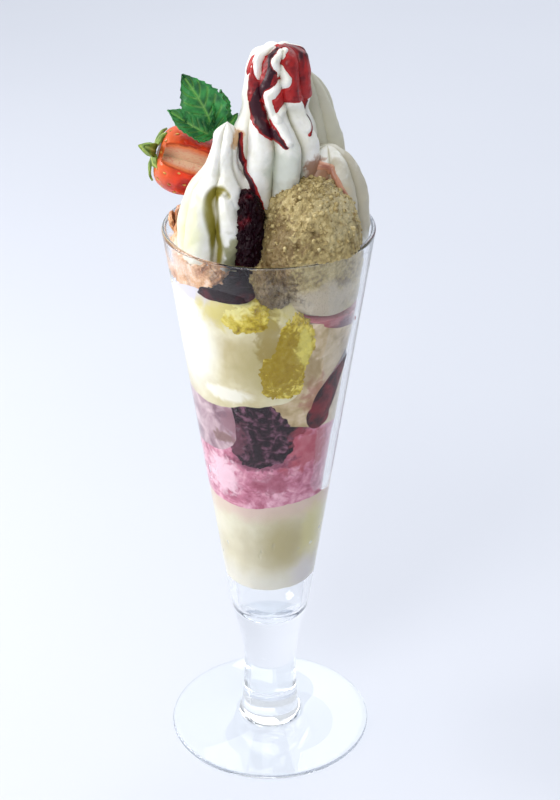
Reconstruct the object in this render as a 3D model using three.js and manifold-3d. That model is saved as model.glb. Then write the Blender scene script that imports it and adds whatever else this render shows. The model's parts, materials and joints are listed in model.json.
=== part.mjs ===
// An ice cream sundae in its tall footed glass.
// Millimetres, +Z up. The origin is the centre of the foot's flat underside, and the front of the
// sundae faces -Y. Every scoop, layer, swirl of cream and topping is a solid of its own, fitted
// into the glass with a fine gap to its neighbours.

import * as THREE from 'three';
import { mergeVertices } from 'three/addons/utils/BufferGeometryUtils.js';
import Module from 'manifold-3d';

const wasm = await Module();
wasm.setup();

// ---------------------------------------------------------------- driving dimensions

const GAP = 0.3; // between neighbours that touch
const FACETS = 28; // sides of the round glass

const FOOT_RADIUS = 40;
const FOOT_EDGE = 1.8; // thickness of the foot at its edge
const FOOT_CROWN = 5.2; // height of the foot where it meets the stem
const STEM_BASE_RADIUS = 11.4;
const STEM_WAIST_RADIUS = 10.3;
const STEM_WAIST_HEIGHT = 27;
const SHOULDER_HEIGHT = 38; // the stem starts to swell into the bowl here
const BOWL_START = { radius: 15.8, height: 62 };
const RIM_RADIUS = 38.2;
const RIM_HEIGHT = 220;
const RIM_WALL = 1.7;
const CAVITY = { radius: 12.7, height: 62, depth: 9.5 }; // where the straight inner wall ends

const BOWL_SLOPE = (RIM_RADIUS - RIM_WALL - CAVITY.radius) / (RIM_HEIGHT - CAVITY.height);

const CREAM = { color: 0xf3f0e6, roughness: 0.5 };
const LOOKS = {
  glass: { color: 0xeef4f7, roughness: 0.05 },
  strawberry: { color: 0xd2361c, roughness: 0.35 },
  strawberry_calyx: { color: 0x5f7f2c, roughness: 0.6 },
  mint_sprig: { color: 0x1f7a3c, roughness: 0.5 },
  coffee_scoop: { color: 0xb3a27a, roughness: 0.75 },
  cream_left: CREAM,
  cream_peak: CREAM,
  cream_right: CREAM,
  cream_back: CREAM,
  cream_back_left: CREAM,
  cream_back_middle: CREAM,
  sauce_pool: { color: 0x4a1418, roughness: 0.25 },
  mango_compote: { color: 0xc9a935, roughness: 0.35 },
  vanilla_scoop: { color: 0xe6dcb4, roughness: 0.6 },
  ripple_lower: { color: 0x6a1a20, roughness: 0.25 },
  ripple_upper: { color: 0x9c4a54, roughness: 0.3 },
  vanilla_side: { color: 0xd9c9a8, roughness: 0.6 },
  berry_cream: { color: 0xb48c98, roughness: 0.5 },
  berry_layer: { color: 0x3a1622, roughness: 0.4 },
  berry_sorbet: { color: 0xb96c80, roughness: 0.7 },
  vanilla_base: { color: 0xd9cda6, roughness: 0.6 },
  cornflakes: { color: 0xb87a3c, roughness: 0.7 },
};

const RIDGE_ROUNDNESS = 0.7; // 1 is a plain wave, less makes the grooves sharper
const PLAIN = { columns: 18, rows: 13, swell: 3.5 }; // the plain form that neighbours are cut back from
const SWAYS = 1.5; // how often the ridges of a swaying swirl swing over and back
const BASE_DEPTH = 0.3; // how deep the grooves are at the foot of a swirl, as a share of their depth
const BASE_RISE = 0.4; // and the share of its height over which they deepen

// ---------------------------------------------------------------- solids

/** Inner radius of the bowl at a height. */
function bowlRadius(height) {
  return CAVITY.radius + BOWL_SLOPE * (height - CAVITY.height);
}

/** A closed three.js geometry as a solid that can be joined and cut. */
function toSolid(geometry) {
  geometry.deleteAttribute('normal');
  geometry.deleteAttribute('uv');
  const merged = mergeVertices(geometry, 1e-4);
  const corners = merged.index.array;
  const kept = [];
  for (let i = 0; i < corners.length; i += 3) {
    const [a, b, c] = [corners[i], corners[i + 1], corners[i + 2]];
    if (a !== b && b !== c && c !== a) kept.push(a, b, c);
  }
  return new wasm.Manifold(new wasm.Mesh({
    numProp: 3,
    vertProperties: new Float32Array(merged.attributes.position.array),
    triVerts: new Uint32Array(kept),
  }));
}

/** The largest piece of a solid, without the loose scraps that a cut leaves. */
function largest(solid) {
  const pieces = solid.decompose();
  return pieces.reduce((best, piece) => (piece.volume() > best.volume() ? piece : best));
}

/** One solid from several that overlap. */
function joined(solids) {
  return solids.reduce((whole, piece) => whole.add(piece));
}

/** A solid turned round the Z axis, from a closed outline of radius and height. */
function turned(outline, facets = FACETS) {
  return toSolid(new THREE.LatheGeometry(outline, facets).rotateX(Math.PI / 2));
}

/** A ball of columns by rows whose points are moved by form(direction, azimuth, climb). */
function moulded(columns, rows, form) {
  const geometry = new THREE.SphereGeometry(1, columns, rows).rotateX(Math.PI / 2);
  const position = geometry.attributes.position;
  const direction = new THREE.Vector3();
  for (let i = 0; i < position.count; i += 1) {
    direction.fromBufferAttribute(position, i);
    const azimuth = Math.atan2(direction.y, direction.x);
    const climb = Math.acos(THREE.MathUtils.clamp(-direction.z, -1, 1)) / Math.PI;
    const point = form(direction, azimuth, climb);
    position.setXYZ(i, point.x, point.y, point.z);
  }
  return toSolid(geometry);
}

/** Smooth unevenness between about -1 and 1 over the directions of a ball. */
function knobs(direction, seed) {
  const { x, y, z } = direction;
  const broad = Math.sin(3.1 * x + 1.7 * seed) * Math.cos(2.7 * y - seed);
  const middle = Math.sin(4.9 * z + 3.3 * x + 2.3 * seed) * Math.cos(4.1 * y + 0.7 * seed);
  const fine = Math.sin(8.3 * x - 6.1 * z + seed) * Math.sin(7.7 * y + 5.2 * z + 3.1 * seed);
  return 0.5 * broad + 0.35 * middle + 0.3 * fine;
}

/**
 * A scoop or spoonful: a ball pressed towards a rounded block by its squareness, with knobs.
 * swell makes it larger all round, which the pieces next to it are cut back from.
 */
function scoop(shape, swell = 0) {
  const { centre, radii, tilt = 0, square = 2, rough = 0.04, seed = 1 } = shape;
  const { columns = 26, rows = 14 } = shape;
  const middle = new THREE.Vector3(...centre);
  const axis = new THREE.Vector3(0, 1, 0);
  return moulded(columns, rows, (direction) => {
    const power = Math.abs(direction.x) ** square + Math.abs(direction.y) ** square
      + Math.abs(direction.z) ** square;
    const reach = power ** (-1 / square) * (1 + rough * knobs(direction, seed));
    return new THREE.Vector3(
      direction.x * (radii[0] * reach + swell),
      direction.y * (radii[1] * reach + swell),
      direction.z * (radii[2] * reach + swell),
    ).applyAxisAngle(axis, THREE.MathUtils.degToRad(-tilt)).add(middle);
  });
}

/** A thick thread of sauce or stalk along points, as wide as girth(share of its length). */
function thread(points, girth, swell = 0, columns = 8, rows = 10) {
  const path = new THREE.CatmullRomCurve3(points.map((point) => new THREE.Vector3(...point)));
  return moulded(columns, rows, (direction, azimuth, climb) => {
    const along = path.getTangentAt(climb);
    const side = new THREE.Vector3(0, 0, 1).cross(along).normalize();
    const up = new THREE.Vector3().crossVectors(along, side);
    const round = Math.hypot(direction.x, direction.y);
    const width = round * (girth(climb) + swell);
    return path.getPointAt(climb)
      .addScaledVector(along, swell * direction.z)
      .addScaledVector(side, width * Math.cos(azimuth))
      .addScaledVector(up, width * Math.sin(azimuth));
  });
}

/**
 * A point on cream piped through a star nozzle: an upright profile of [radius, height] points with
 * rounded ridges that twist as they climb and sway from side to side, leaning over at its top.
 */
function onPiped(shape, azimuth, climb, swell = 0) {
  const { centre, profile, ridges, depth, twist, sway = 0, lean, turn } = shape;
  const outline = new THREE.SplineCurve(profile.map(([r, z]) => new THREE.Vector2(r, z)));
  const foot = profile[0][1];
  const at = outline.getPoint(climb);
  const rise = (at.y - foot) / (profile[profile.length - 1][1] - foot);
  const swing = sway * Math.sin(SWAYS * 2 * Math.PI * rise) * rise;
  const phase = (ridges * azimuth + turn) / 2 + Math.PI * (twist * rise + swing);
  const ridge = Math.abs(Math.cos(phase)) ** RIDGE_ROUNDNESS;
  const round = Math.sin(Math.PI * climb);
  const carved = depth * Math.min(1, BASE_DEPTH + rise / BASE_RISE);
  const radius = Math.max(at.x, 0) * (1 - carved * (1 - ridge)) + swell * round;
  return new THREE.Vector3(
    centre[0] + lean[0] * rise + radius * Math.cos(azimuth),
    centre[1] + lean[1] * rise + radius * Math.sin(azimuth),
    at.y - swell * Math.cos(Math.PI * climb),
  );
}

/** The whole of a piece of piped cream. Swollen, it is its plain outer form without the grooves. */
function piped(shape, swell = 0) {
  if (swell > 0) {
    const plain = { ...shape, depth: 0 };
    return moulded(PLAIN.columns, PLAIN.rows, (_, azimuth, climb) => (
      onPiped(plain, azimuth, climb, PLAIN.swell * swell)
    ));
  }
  const { columns, rows } = shape;
  return moulded(columns, rows, (_, azimuth, climb) => onPiped(shape, azimuth, climb));
}

/** Sauce that lies on piped cream along [azimuth in degrees, climb] spots. */
function drizzle(shape, spots, girth, swell = 0) {
  const points = spots.map(([azimuth, climb]) => {
    const halfway = { ...shape, depth: 0.5 * shape.depth };
    return onPiped(halfway, THREE.MathUtils.degToRad(azimuth), climb).toArray();
  });
  const width = (share) => girth * (0.45 + 0.55 * Math.sin(Math.PI * share) ** 0.5);
  return thread(points, width, swell, 5, 6);
}

/**
 * A leaf or flake: a thin sheet along a spine of points, with both faces split alike. outline
 * gives half its width along its length, cup lifts its sides and wave ripples them.
 */
function leaf({ spine, normal, outline, thickness, cup = 0, wave = 0, rows = 8, columns = 4 }) {
  const path = new THREE.CatmullRomCurve3(spine.map((point) => new THREE.Vector3(...point)));
  const geometry = new THREE.BoxGeometry(1, 1, 1, rows, columns, 1);
  const position = geometry.attributes.position;
  const face = new THREE.Vector3(...normal).normalize();
  for (let i = 0; i < position.count; i += 1) {
    const share = position.getX(i) + 0.5;
    const across = 2 * position.getY(i);
    const along = path.getTangentAt(share);
    const up = face.clone().addScaledVector(along, -face.dot(along)).normalize();
    const side = new THREE.Vector3().crossVectors(up, along);
    const half = outline(share);
    const lift = cup * half * across * across
      + wave * across * across * Math.sin(4 * Math.PI * share + 2 * across)
      + thickness * position.getZ(i);
    const point = path.getPointAt(share).addScaledVector(side, half * across).addScaledVector(up, lift);
    position.setXYZ(i, point.x, point.y, point.z);
  }
  return toSolid(geometry);
}

// ---------------------------------------------------------------- fitting together

const sundae = new THREE.Group();
const placed = []; // what is in the glass so far, each swollen by the gap

/** Adds a solid to the sundae as a named mesh. */
function add(name, solid) {
  const mesh = solid.getMesh();
  const geometry = new THREE.BufferGeometry();
  geometry.setAttribute('position', new THREE.BufferAttribute(mesh.vertProperties, 3));
  geometry.setIndex(new THREE.BufferAttribute(mesh.triVerts, 1));
  geometry.computeVertexNormals();
  const piece = new THREE.Mesh(geometry, new THREE.MeshStandardMaterial({ ...LOOKS[name], metalness: 0 }));
  piece.name = name;
  sundae.add(piece);
}

/** Fits food into the glass, cut back from all that is already there. */
function fit(name, make) {
  let solid = make(0).intersect(room);
  for (const other of placed) solid = solid.subtract(other);
  add(name, largest(solid));
  placed.push(make(GAP));
}

// ---------------------------------------------------------------- glass

/** The glass's closed outline, from the underside out, up the outside, and down the inside. */
function glassOutline() {
  const outline = new THREE.Path();
  outline.moveTo(0, 0);
  outline.lineTo(FOOT_RADIUS - FOOT_EDGE / 2, 0);
  outline.absarc(FOOT_RADIUS - FOOT_EDGE / 2, FOOT_EDGE / 2, FOOT_EDGE / 2, -Math.PI / 2, Math.PI / 2);
  outline.quadraticCurveTo(
    FOOT_RADIUS * 0.55, FOOT_EDGE + 1.2,
    STEM_BASE_RADIUS + 3, FOOT_CROWN,
  );
  outline.quadraticCurveTo(
    STEM_BASE_RADIUS + 0.3, FOOT_CROWN + 0.9,
    STEM_BASE_RADIUS, FOOT_CROWN + 4.5,
  );
  outline.quadraticCurveTo(
    STEM_WAIST_RADIUS + 0.3, FOOT_CROWN + 12,
    STEM_WAIST_RADIUS, STEM_WAIST_HEIGHT,
  );
  outline.quadraticCurveTo(
    STEM_WAIST_RADIUS, SHOULDER_HEIGHT - 4,
    STEM_WAIST_RADIUS + 0.7, SHOULDER_HEIGHT,
  );
  outline.quadraticCurveTo(
    STEM_WAIST_RADIUS + 1.5, SHOULDER_HEIGHT + 6,
    (STEM_WAIST_RADIUS + BOWL_START.radius) / 2, (SHOULDER_HEIGHT + BOWL_START.height) / 2,
  );
  outline.quadraticCurveTo(
    BOWL_START.radius - 1.5, BOWL_START.height - 7,
    BOWL_START.radius, BOWL_START.height,
  );
  outline.lineTo(RIM_RADIUS, RIM_HEIGHT - RIM_WALL / 2);
  outline.absarc(RIM_RADIUS - RIM_WALL / 2, RIM_HEIGHT - RIM_WALL / 2, RIM_WALL / 2, 0, Math.PI);
  outline.lineTo(CAVITY.radius, CAVITY.height);
  outline.absellipse(0, CAVITY.height, CAVITY.radius, CAVITY.depth, 0, -Math.PI / 2, true);
  return outline.getPoints(2);
}

/** The space that food may take: the bowl inside its wall, and the open air above the rim. */
function foodRoom() {
  const open = 2 * RIM_RADIUS;
  const brim = RIM_HEIGHT + GAP;
  return turned([
    new THREE.Vector2(0, CAVITY.height),
    new THREE.Vector2(bowlRadius(CAVITY.height) - GAP, CAVITY.height),
    new THREE.Vector2(bowlRadius(brim) - GAP, brim),
    new THREE.Vector2(open, brim),
    new THREE.Vector2(open, 2 * RIM_HEIGHT),
    new THREE.Vector2(0, 2 * RIM_HEIGHT),
  ]);
}

const room = foodRoom();
add('glass', turned(glassOutline()));

// ---------------------------------------------------------------- strawberry and mint

const BERRY = {
  crown: [-39, 6, 245], // the leafy end
  point: [-10.5, 7, 235.5], // the tip, pressed into the cream
  front: [0.2, -0.9, 0.38], // the way its cut faces
  radius: 12.2,
  cutDepth: 12.6, // how far the cut reaches in from the skin
  cutStart: 0.04, // where it starts, as a share of the berry's length from its crown
  cutEnd: 1.2, // and where it ends, past the tip
  cutFlare: [0.4, 0.55], // half its opening as a share of its depth, at its start and at the tip
};

/** The strawberry's own frame: Z from its crown to its tip, X out through the cut. */
function berryFrame() {
  const crown = new THREE.Vector3(...BERRY.crown);
  const along = new THREE.Vector3(...BERRY.point).sub(crown).normalize();
  const front = new THREE.Vector3(...BERRY.front);
  const side = front.addScaledVector(along, -front.dot(along)).normalize();
  return new THREE.Matrix4().makeBasis(side, along.clone().cross(side), along).setPosition(crown);
}

/** A whole berry along +Z from its crown at 0 to its tip at length. */
function berryBody(length, swell) {
  const outline = new THREE.SplineCurve([
    [0, 0.03], [0.4, 0], [0.78, 0.06], [0.98, 0.22], [0.98, 0.42],
    [0.78, 0.66], [0.48, 0.86], [0.2, 0.97], [0, 1],
  ].map(([share, height]) => new THREE.Vector2(share * BERRY.radius, height * length)));
  return moulded(16, 11, (direction, azimuth, climb) => {
    const at = outline.getPoint(climb);
    const radius = Math.max(at.x, 0) + swell * Math.sin(Math.PI * climb);
    const height = at.y - swell * Math.cos(Math.PI * climb);
    return new THREE.Vector3(radius * Math.cos(azimuth), radius * Math.sin(azimuth), height);
  });
}

/** The cut along the berry: a wedge that opens outward along +X, and wider towards the tip. */
function berryCut(length) {
  const root = BERRY.radius - BERRY.cutDepth;
  const reach = 2 * BERRY.radius - root;
  const wedge = new THREE.Shape();
  wedge.moveTo(root, 0);
  wedge.lineTo(root + reach, -reach);
  wedge.lineTo(root + reach, reach);
  wedge.closePath();
  const geometry = new THREE.ExtrudeGeometry(wedge, { depth: 1, bevelEnabled: false });
  const position = geometry.attributes.position;
  for (let i = 0; i < position.count; i += 1) {
    const share = position.getZ(i);
    position.setY(i, position.getY(i) * THREE.MathUtils.lerp(...BERRY.cutFlare, share));
    position.setZ(i, length * THREE.MathUtils.lerp(BERRY.cutStart, BERRY.cutEnd, share));
  }
  return toSolid(geometry);
}

/** The strawberry in its place. */
function strawberry(swell = 0) {
  const length = new THREE.Vector3(...BERRY.point).distanceTo(new THREE.Vector3(...BERRY.crown));
  const body = berryBody(length, swell);
  const berry = swell === 0 ? body.subtract(berryCut(length)) : body;
  return berry.transform(berryFrame().elements);
}

const SEPALS = {
  count: 6, length: 10.5, width: 2.3, thickness: 0.6, seat: -0.5,
  lying: [0, 0.1, -0.9, -2.6], // how far a sepal that lies on the berry rises from its seat
  flared: [0, 0.5, 2.4, 5], // and one that curls away from it
};

/** The strawberry's green leaves, a star round a short stalk at its crown. */
function calyx() {
  const seat = SEPALS.seat - GAP;
  const stalkLine = [[0, 0, seat - 0.2], [0, 0, seat - 2], [1, 0.5, seat - 5]];
  const stalk = thread(stalkLine, (share) => 2.3 - 1.4 * share, 0, 8, 6);
  const leaves = [];
  for (let i = 0; i < SEPALS.count; i += 1) {
    const turn = (2 * Math.PI * (i + 0.2 * Math.sin(5 * i))) / SEPALS.count;
    const reach = SEPALS.length * (0.85 + 0.25 * Math.sin(3 * i + 1));
    const out = [Math.cos(turn), Math.sin(turn)];
    const rise = i % 3 === 0 ? SEPALS.flared : SEPALS.lying;
    const spine = [1.5, 0.45 * reach, 0.8 * reach, reach].map((far, k) => (
      [far * out[0], far * out[1], seat - 0.8 - rise[k]]
    ));
    leaves.push(leaf({
      spine,
      normal: [0.3 * out[0], 0.3 * out[1], 1],
      outline: (share) => SEPALS.width * Math.sin(Math.PI * (0.12 + 0.86 * share)) + 0.15,
      thickness: SEPALS.thickness,
      cup: 0.25,
      rows: 3,
      columns: 2,
    }));
  }
  return joined([stalk, ...leaves]).transform(berryFrame().elements);
}

const MINT_BASE = [-18.6, 0.5, 252.5];
const MINT = [
  { middle: [-22, 0.5, 263], tip: [-29.6, 4, 274.5], half: 7.4, normal: [-0.15, -1, 0.5] },
  { middle: [-25.5, -2.5, 257.5], tip: [-34.8, -2, 263.6], half: 4.6, normal: [0.1, -0.75, 0.8] },
  { middle: [-17, 1.5, 260.5], tip: [-16.5, 4.5, 268.8], half: 4.4, normal: [0.75, -0.8, 0.35] },
  { middle: [-14.5, -0.5, 256.5], tip: [-10.6, 1, 261.4], half: 2.2, normal: [0.3, -0.8, 0.6] },
];

/** A sprig of mint: leaves joined at the top of a stalk. */
function mintSprig() {
  const [x, y, z] = MINT_BASE;
  const stalkLine = [[x + 1.5, y + 2, z - 9], [x + 0.6, y + 1, z - 4], [x, y, z + 1.5]];
  const stalk = thread(stalkLine, () => 1.3, 0, 6, 6);
  const leaves = MINT.map(({ middle, tip, half, normal }) => leaf({
    spine: [MINT_BASE.map((value, k) => THREE.MathUtils.lerp(value, middle[k], 0.12)), middle, tip],
    normal,
    outline: (share) => half * Math.sin(Math.PI * share ** 0.8) + 0.25,
    thickness: 0.6,
    cup: 0.3,
    wave: 0.7,
    rows: 5,
    columns: 2,
  }));
  return joined([stalk, ...leaves]);
}

fit('strawberry', strawberry);
fit('strawberry_calyx', calyx);
fit('mint_sprig', mintSprig);

// ---------------------------------------------------------------- scoop and cream on top

/** Several scoops as one solid. */
function heap(shapes, swell) {
  return joined(shapes.map((shape) => scoop(shape, swell)));
}

const COFFEE_SCOOP = [
  {
    centre: [14, -13, 218], radii: [18.5, 22, 23.5], square: 2.15, rough: 0.06, seed: 2,
    columns: 16, rows: 9,
  },
  { centre: [1.5, -20, 207], radii: [8.5, 13, 11.5], square: 2.2, rough: 0.08, seed: 26, columns: 8, rows: 5 },
  { centre: [19, -11, 204], radii: [16.5, 20, 8.5], square: 2.6, rough: 0.04, seed: 5, columns: 10, rows: 4 },
];

const CREAM_LEFT = {
  centre: [-20.8, -13.5],
  profile: [
    [0, 210], [8.5, 210.6], [11.6, 215], [13.2, 222], [13.2, 231], [11, 239], [6.4, 245.5], [4.8, 251],
    [4, 258], [0, 262],
  ],
  ridges: 5, depth: 0.32, twist: 0.4, lean: [6.5, 5], turn: 3.9, columns: 20, rows: 10,
};

const CREAM_PEAK = {
  centre: [-1, 1],
  profile: [
    [0, 216], [11, 217], [15.5, 227], [17.5, 240], [16.8, 252], [13.4, 259.5],
    [11.6, 264], [11.8, 271], [10.9, 278.5], [8.4, 284], [0, 286.5],
  ],
  ridges: 8, depth: 0.3, twist: 1.2, sway: 0.4, lean: [5, 0], turn: 0.3, columns: 32, rows: 13,
};

const CREAM_RIGHT = {
  centre: [23.5, 1.8],
  profile: [[0, 206], [9, 208], [12.9, 214], [13.8, 223], [13, 234], [9.5, 243], [4, 248], [0, 249]],
  ridges: 6, depth: 0.26, twist: -0.3, lean: [-3, 1], turn: 1.2, columns: 24, rows: 8,
};

const CREAM_BACK = {
  centre: [17, 18],
  profile: [[0, 207], [9, 209.5], [13, 218], [13.8, 232], [12.4, 244], [9.4, 256], [5.4, 266], [0, 272]],
  ridges: 6, depth: 0.18, twist: 0.6, lean: [-2.5, -1], turn: 0.2, columns: 20, rows: 7,
};

const CREAM_BACK_MIDDLE = {
  centre: [1.8, 26],
  profile: [[0, 203], [7, 205], [9.6, 213], [9.8, 224], [8, 234], [4, 241], [0, 243]],
  ridges: 6, depth: 0.2, twist: 0.5, lean: [1, -3], turn: 0.6, columns: 18, rows: 5,
};

const CREAM_BACK_LEFT = {
  centre: [-14, 19],
  profile: [[0, 206], [9, 207.5], [13.4, 215], [14.6, 226], [13.4, 237], [9, 246], [3.5, 251], [0, 252]],
  ridges: 6, depth: 0.28, twist: -0.5, lean: [2, -2], turn: 0.9, columns: 20, rows: 6,
};

const PEAK_SAUCE = [
  { spots: [[-116, 0.94], [-104, 0.84], [-108, 0.76], [-128, 0.69], [-122, 0.6], [-106, 0.51]], girth: 2.6 },
  { spots: [[-20, 0.93], [-35, 0.84], [-52, 0.75], [-62, 0.67], [-84, 0.65]], girth: 2.4 },
  { spots: [[-144, 0.43], [-136, 0.37], [-117, 0.325], [-107, 0.27], [-100, 0.22]], girth: 1.6 },
];
const RIGHT_SAUCE = { spots: [[-116, 0.74], [-84, 0.7], [-62, 0.53], [-40, 0.35]], girth: 1.2 };

/** The tall swirl with the berry sauce poured over it. */
function creamPeak(swell) {
  const sauce = PEAK_SAUCE.map(({ spots, girth }) => drizzle(CREAM_PEAK, spots, girth, swell));
  return joined([piped(CREAM_PEAK, swell), ...sauce]);
}

/** The lobe of cream at the right with its thread of sauce. */
function creamRight(swell) {
  const sauce = drizzle(CREAM_RIGHT, RIGHT_SAUCE.spots, RIGHT_SAUCE.girth, swell);
  return joined([piped(CREAM_RIGHT, swell), sauce]);
}

fit('coffee_scoop', (swell) => heap(COFFEE_SCOOP, swell));
fit('cream_left', (swell) => piped(CREAM_LEFT, swell));
fit('cream_peak', creamPeak);
fit('cream_right', creamRight);
fit('cream_back', (swell) => piped(CREAM_BACK, swell));
fit('cream_back_left', (swell) => piped(CREAM_BACK_LEFT, swell));
fit('cream_back_middle', (swell) => piped(CREAM_BACK_MIDDLE, swell));

// ---------------------------------------------------------------- layers in the glass

const FLAKE_BED = {
  centre: [-24, -6, 210.5], radii: [12, 24, 6.5], square: 2.3, rough: 0.08, seed: 5, columns: 10, rows: 4,
};
const FLAKES = { count: 8, first: -196, last: -128, high: 220, low: 209, inset: 1.9, size: 4.6 };
const SAUCE_POOL = [
  {
    centre: [-13.5, -13, 206.5], radii: [12, 22, 3.6], square: 2.4, rough: 0.06, seed: 3,
    columns: 10, rows: 4,
  },
  { centre: [-7, -17.5, 223.5], radii: [6.2, 9, 17], rough: 0.06, seed: 4, columns: 8, rows: 5 },
];
const MANGO = [
  { centre: [8.5, -26, 188], radii: [7, 9, 12], square: 2.3, rough: 0.1, seed: 6, columns: 8, rows: 5 },
  { centre: [4, -26, 175.5], radii: [8, 9, 11], square: 2.3, rough: 0.1, seed: 16, columns: 8, rows: 5 },
  { centre: [-4.5, -17, 199], radii: [15, 17, 9], square: 2.4, rough: 0.1, seed: 7, columns: 12, rows: 5 },
];
const VANILLA_SCOOP = {
  centre: [-10, -4, 184], radii: [25, 32, 26.5], square: 3.4, rough: 0.03, seed: 8, columns: 10, rows: 6,
};
const RIPPLE_LOWER = [[-24, 178], [-31.5, 172], [-40, 166], [-46, 160], [-51, 151]]; // [azimuth, height]
const RIPPLE_GIRTH = [1.4, 8];
const RIPPLE_INSET = 0.8; // its middle inside the wall
const RIPPLE_FOOT = {
  centre: [17, -20.5, 154], radii: [4.2, 6, 5], tilt: 15, square: 2.6, rough: 0.05, seed: 22,
  columns: 10, rows: 7,
};
const RIPPLE_UPPER = {
  centre: [16, 2, 195], radii: [24, 30, 3.4], tilt: -18, square: 2.4, rough: 0.08, seed: 9,
  columns: 14, rows: 6,
};
const VANILLA_SIDE = {
  centre: [14, 2, 175], radii: [26, 34, 27], square: 3.8, rough: 0.03, seed: 10, columns: 10, rows: 6,
};
const BERRY_CREAM = {
  centre: [-22, -5, 152], radii: [15, 21, 15], square: 2.8, rough: 0.05, seed: 11, columns: 12, rows: 8,
};
const BERRY_LAYER = [
  { centre: [-7, 2, 149.5], radii: [27, 32, 4.5], square: 2.6, rough: 0.06, seed: 12, columns: 12, rows: 4 },
  {
    centre: [-4, -20, 149.5], radii: [12.5, 13, 16], tilt: 20, square: 2.2, rough: 0.1, seed: 13,
    columns: 10, rows: 7,
  },
];
const BERRY_SORBET = {
  centre: [2, 0, 132.5], radii: [31, 31, 18.5], tilt: 8, square: 3.2, rough: 0.05, seed: 14,
  columns: 14, rows: 7,
};
const VANILLA_BASE = {
  centre: [0, 0, 98], radii: [30, 30, 27], square: 2.1, rough: 0.02, seed: 15, columns: 12, rows: 7,
};

/** A point just inside the bowl's wall, at an azimuth in degrees and a height. */
function byWall([azimuth, height], inset) {
  const angle = THREE.MathUtils.degToRad(azimuth);
  const radius = bowlRadius(height) - inset;
  return new THREE.Vector3(radius * Math.cos(angle), radius * Math.sin(angle), height);
}

/** The red streak that runs down the inside of the wall and spreads at its foot. */
function lowerRipple(swell) {
  const points = RIPPLE_LOWER.map((spot) => byWall(spot, RIPPLE_INSET).toArray());
  const [thin, thick] = RIPPLE_GIRTH;
  const streak = thread(points, (share) => THREE.MathUtils.lerp(thin, thick, share), swell, 6, 7);
  return joined([streak, scoop(RIPPLE_FOOT, swell)]);
}

/** The bed of cornflakes, with the flakes that lean on the wall. */
function cornflakes() {
  const flakes = [];
  for (let i = 0; i < FLAKES.count; i += 1) {
    const share = i / (FLAKES.count - 1);
    const azimuth = THREE.MathUtils.lerp(FLAKES.first, FLAKES.last, share);
    const height = THREE.MathUtils.lerp(FLAKES.high, FLAKES.low, share) + 1.6 * Math.sin(7 * i);
    const middle = byWall([azimuth, height], FLAKES.inset + 1.2 * Math.sin(4 * i));
    const out = middle.clone().setZ(0).normalize();
    const along = new THREE.Vector3(-out.y, out.x, Math.sin(3 * i)).normalize();
    const size = FLAKES.size * (1 + 0.2 * Math.sin(9 * i));
    const ends = [-1, 0, 1].map((end) => (
      middle.clone().addScaledVector(along, end * size).addScaledVector(out, -1.1 * end * end).toArray()
    ));
    flakes.push(leaf({
      spine: ends,
      normal: out.clone().setZ(0.3 * Math.sin(5 * i)).toArray(),
      outline: (at) => 0.75 * size * Math.sin(Math.PI * (0.12 + 0.76 * at)) ** 0.6,
      thickness: 0.9,
      cup: -0.3,
      rows: 3,
      columns: 2,
    }));
  }
  return joined([scoop(FLAKE_BED), ...flakes]);
}

fit('sauce_pool', (swell) => heap(SAUCE_POOL, swell));
fit('mango_compote', (swell) => heap(MANGO, swell));
fit('vanilla_scoop', (swell) => scoop(VANILLA_SCOOP, swell));
fit('ripple_lower', lowerRipple);
fit('ripple_upper', (swell) => scoop(RIPPLE_UPPER, swell));
fit('berry_cream', (swell) => scoop(BERRY_CREAM, swell));
fit('berry_layer', (swell) => heap(BERRY_LAYER, swell));
fit('vanilla_side', (swell) => scoop(VANILLA_SIDE, swell));
fit('berry_sorbet', (swell) => scoop(BERRY_SORBET, swell));
fit('vanilla_base', (swell) => scoop(VANILLA_BASE, swell));
fit('cornflakes', cornflakes);

export default sundae;
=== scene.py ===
"""An ice cream sundae in its tall footed glass, dressed over the solids of its frame.

Forms are worked out in millimetres, +Z up, from the centre of the foot's underside, with the front
of the sundae facing -Y. They become meshes in metres.
"""

import sys
import json
import logging
import math
from collections.abc import Sequence
from dataclasses import dataclass, field
from enum import Enum
from itertools import product

import bpy
import numpy as np
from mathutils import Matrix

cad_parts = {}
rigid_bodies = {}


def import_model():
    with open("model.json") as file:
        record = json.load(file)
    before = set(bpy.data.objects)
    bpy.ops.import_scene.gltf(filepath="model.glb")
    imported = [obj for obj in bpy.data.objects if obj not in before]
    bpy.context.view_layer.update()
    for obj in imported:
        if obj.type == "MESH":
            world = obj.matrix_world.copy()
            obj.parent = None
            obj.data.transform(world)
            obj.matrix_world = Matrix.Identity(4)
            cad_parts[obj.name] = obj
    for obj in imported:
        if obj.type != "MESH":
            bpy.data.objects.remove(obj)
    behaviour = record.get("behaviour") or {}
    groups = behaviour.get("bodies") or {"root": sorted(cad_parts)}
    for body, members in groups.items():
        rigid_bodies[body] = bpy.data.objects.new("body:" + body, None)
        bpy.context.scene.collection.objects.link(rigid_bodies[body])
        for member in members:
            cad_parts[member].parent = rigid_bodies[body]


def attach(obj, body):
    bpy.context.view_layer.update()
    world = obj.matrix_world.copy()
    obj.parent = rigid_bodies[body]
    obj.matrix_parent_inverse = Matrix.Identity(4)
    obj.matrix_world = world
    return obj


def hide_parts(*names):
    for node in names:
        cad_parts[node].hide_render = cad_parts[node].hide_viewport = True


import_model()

MM = 0.001
DETAIL = 1.0  # share of the full number of columns and rows

Array = np.ndarray
Colour = tuple[float, float, float, float]
Spot = tuple[float, ...]
Stops = Sequence[tuple[float, Colour]]

log = logging.getLogger("sundae")


# ---------------------------------------------------------------- numbers


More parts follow.
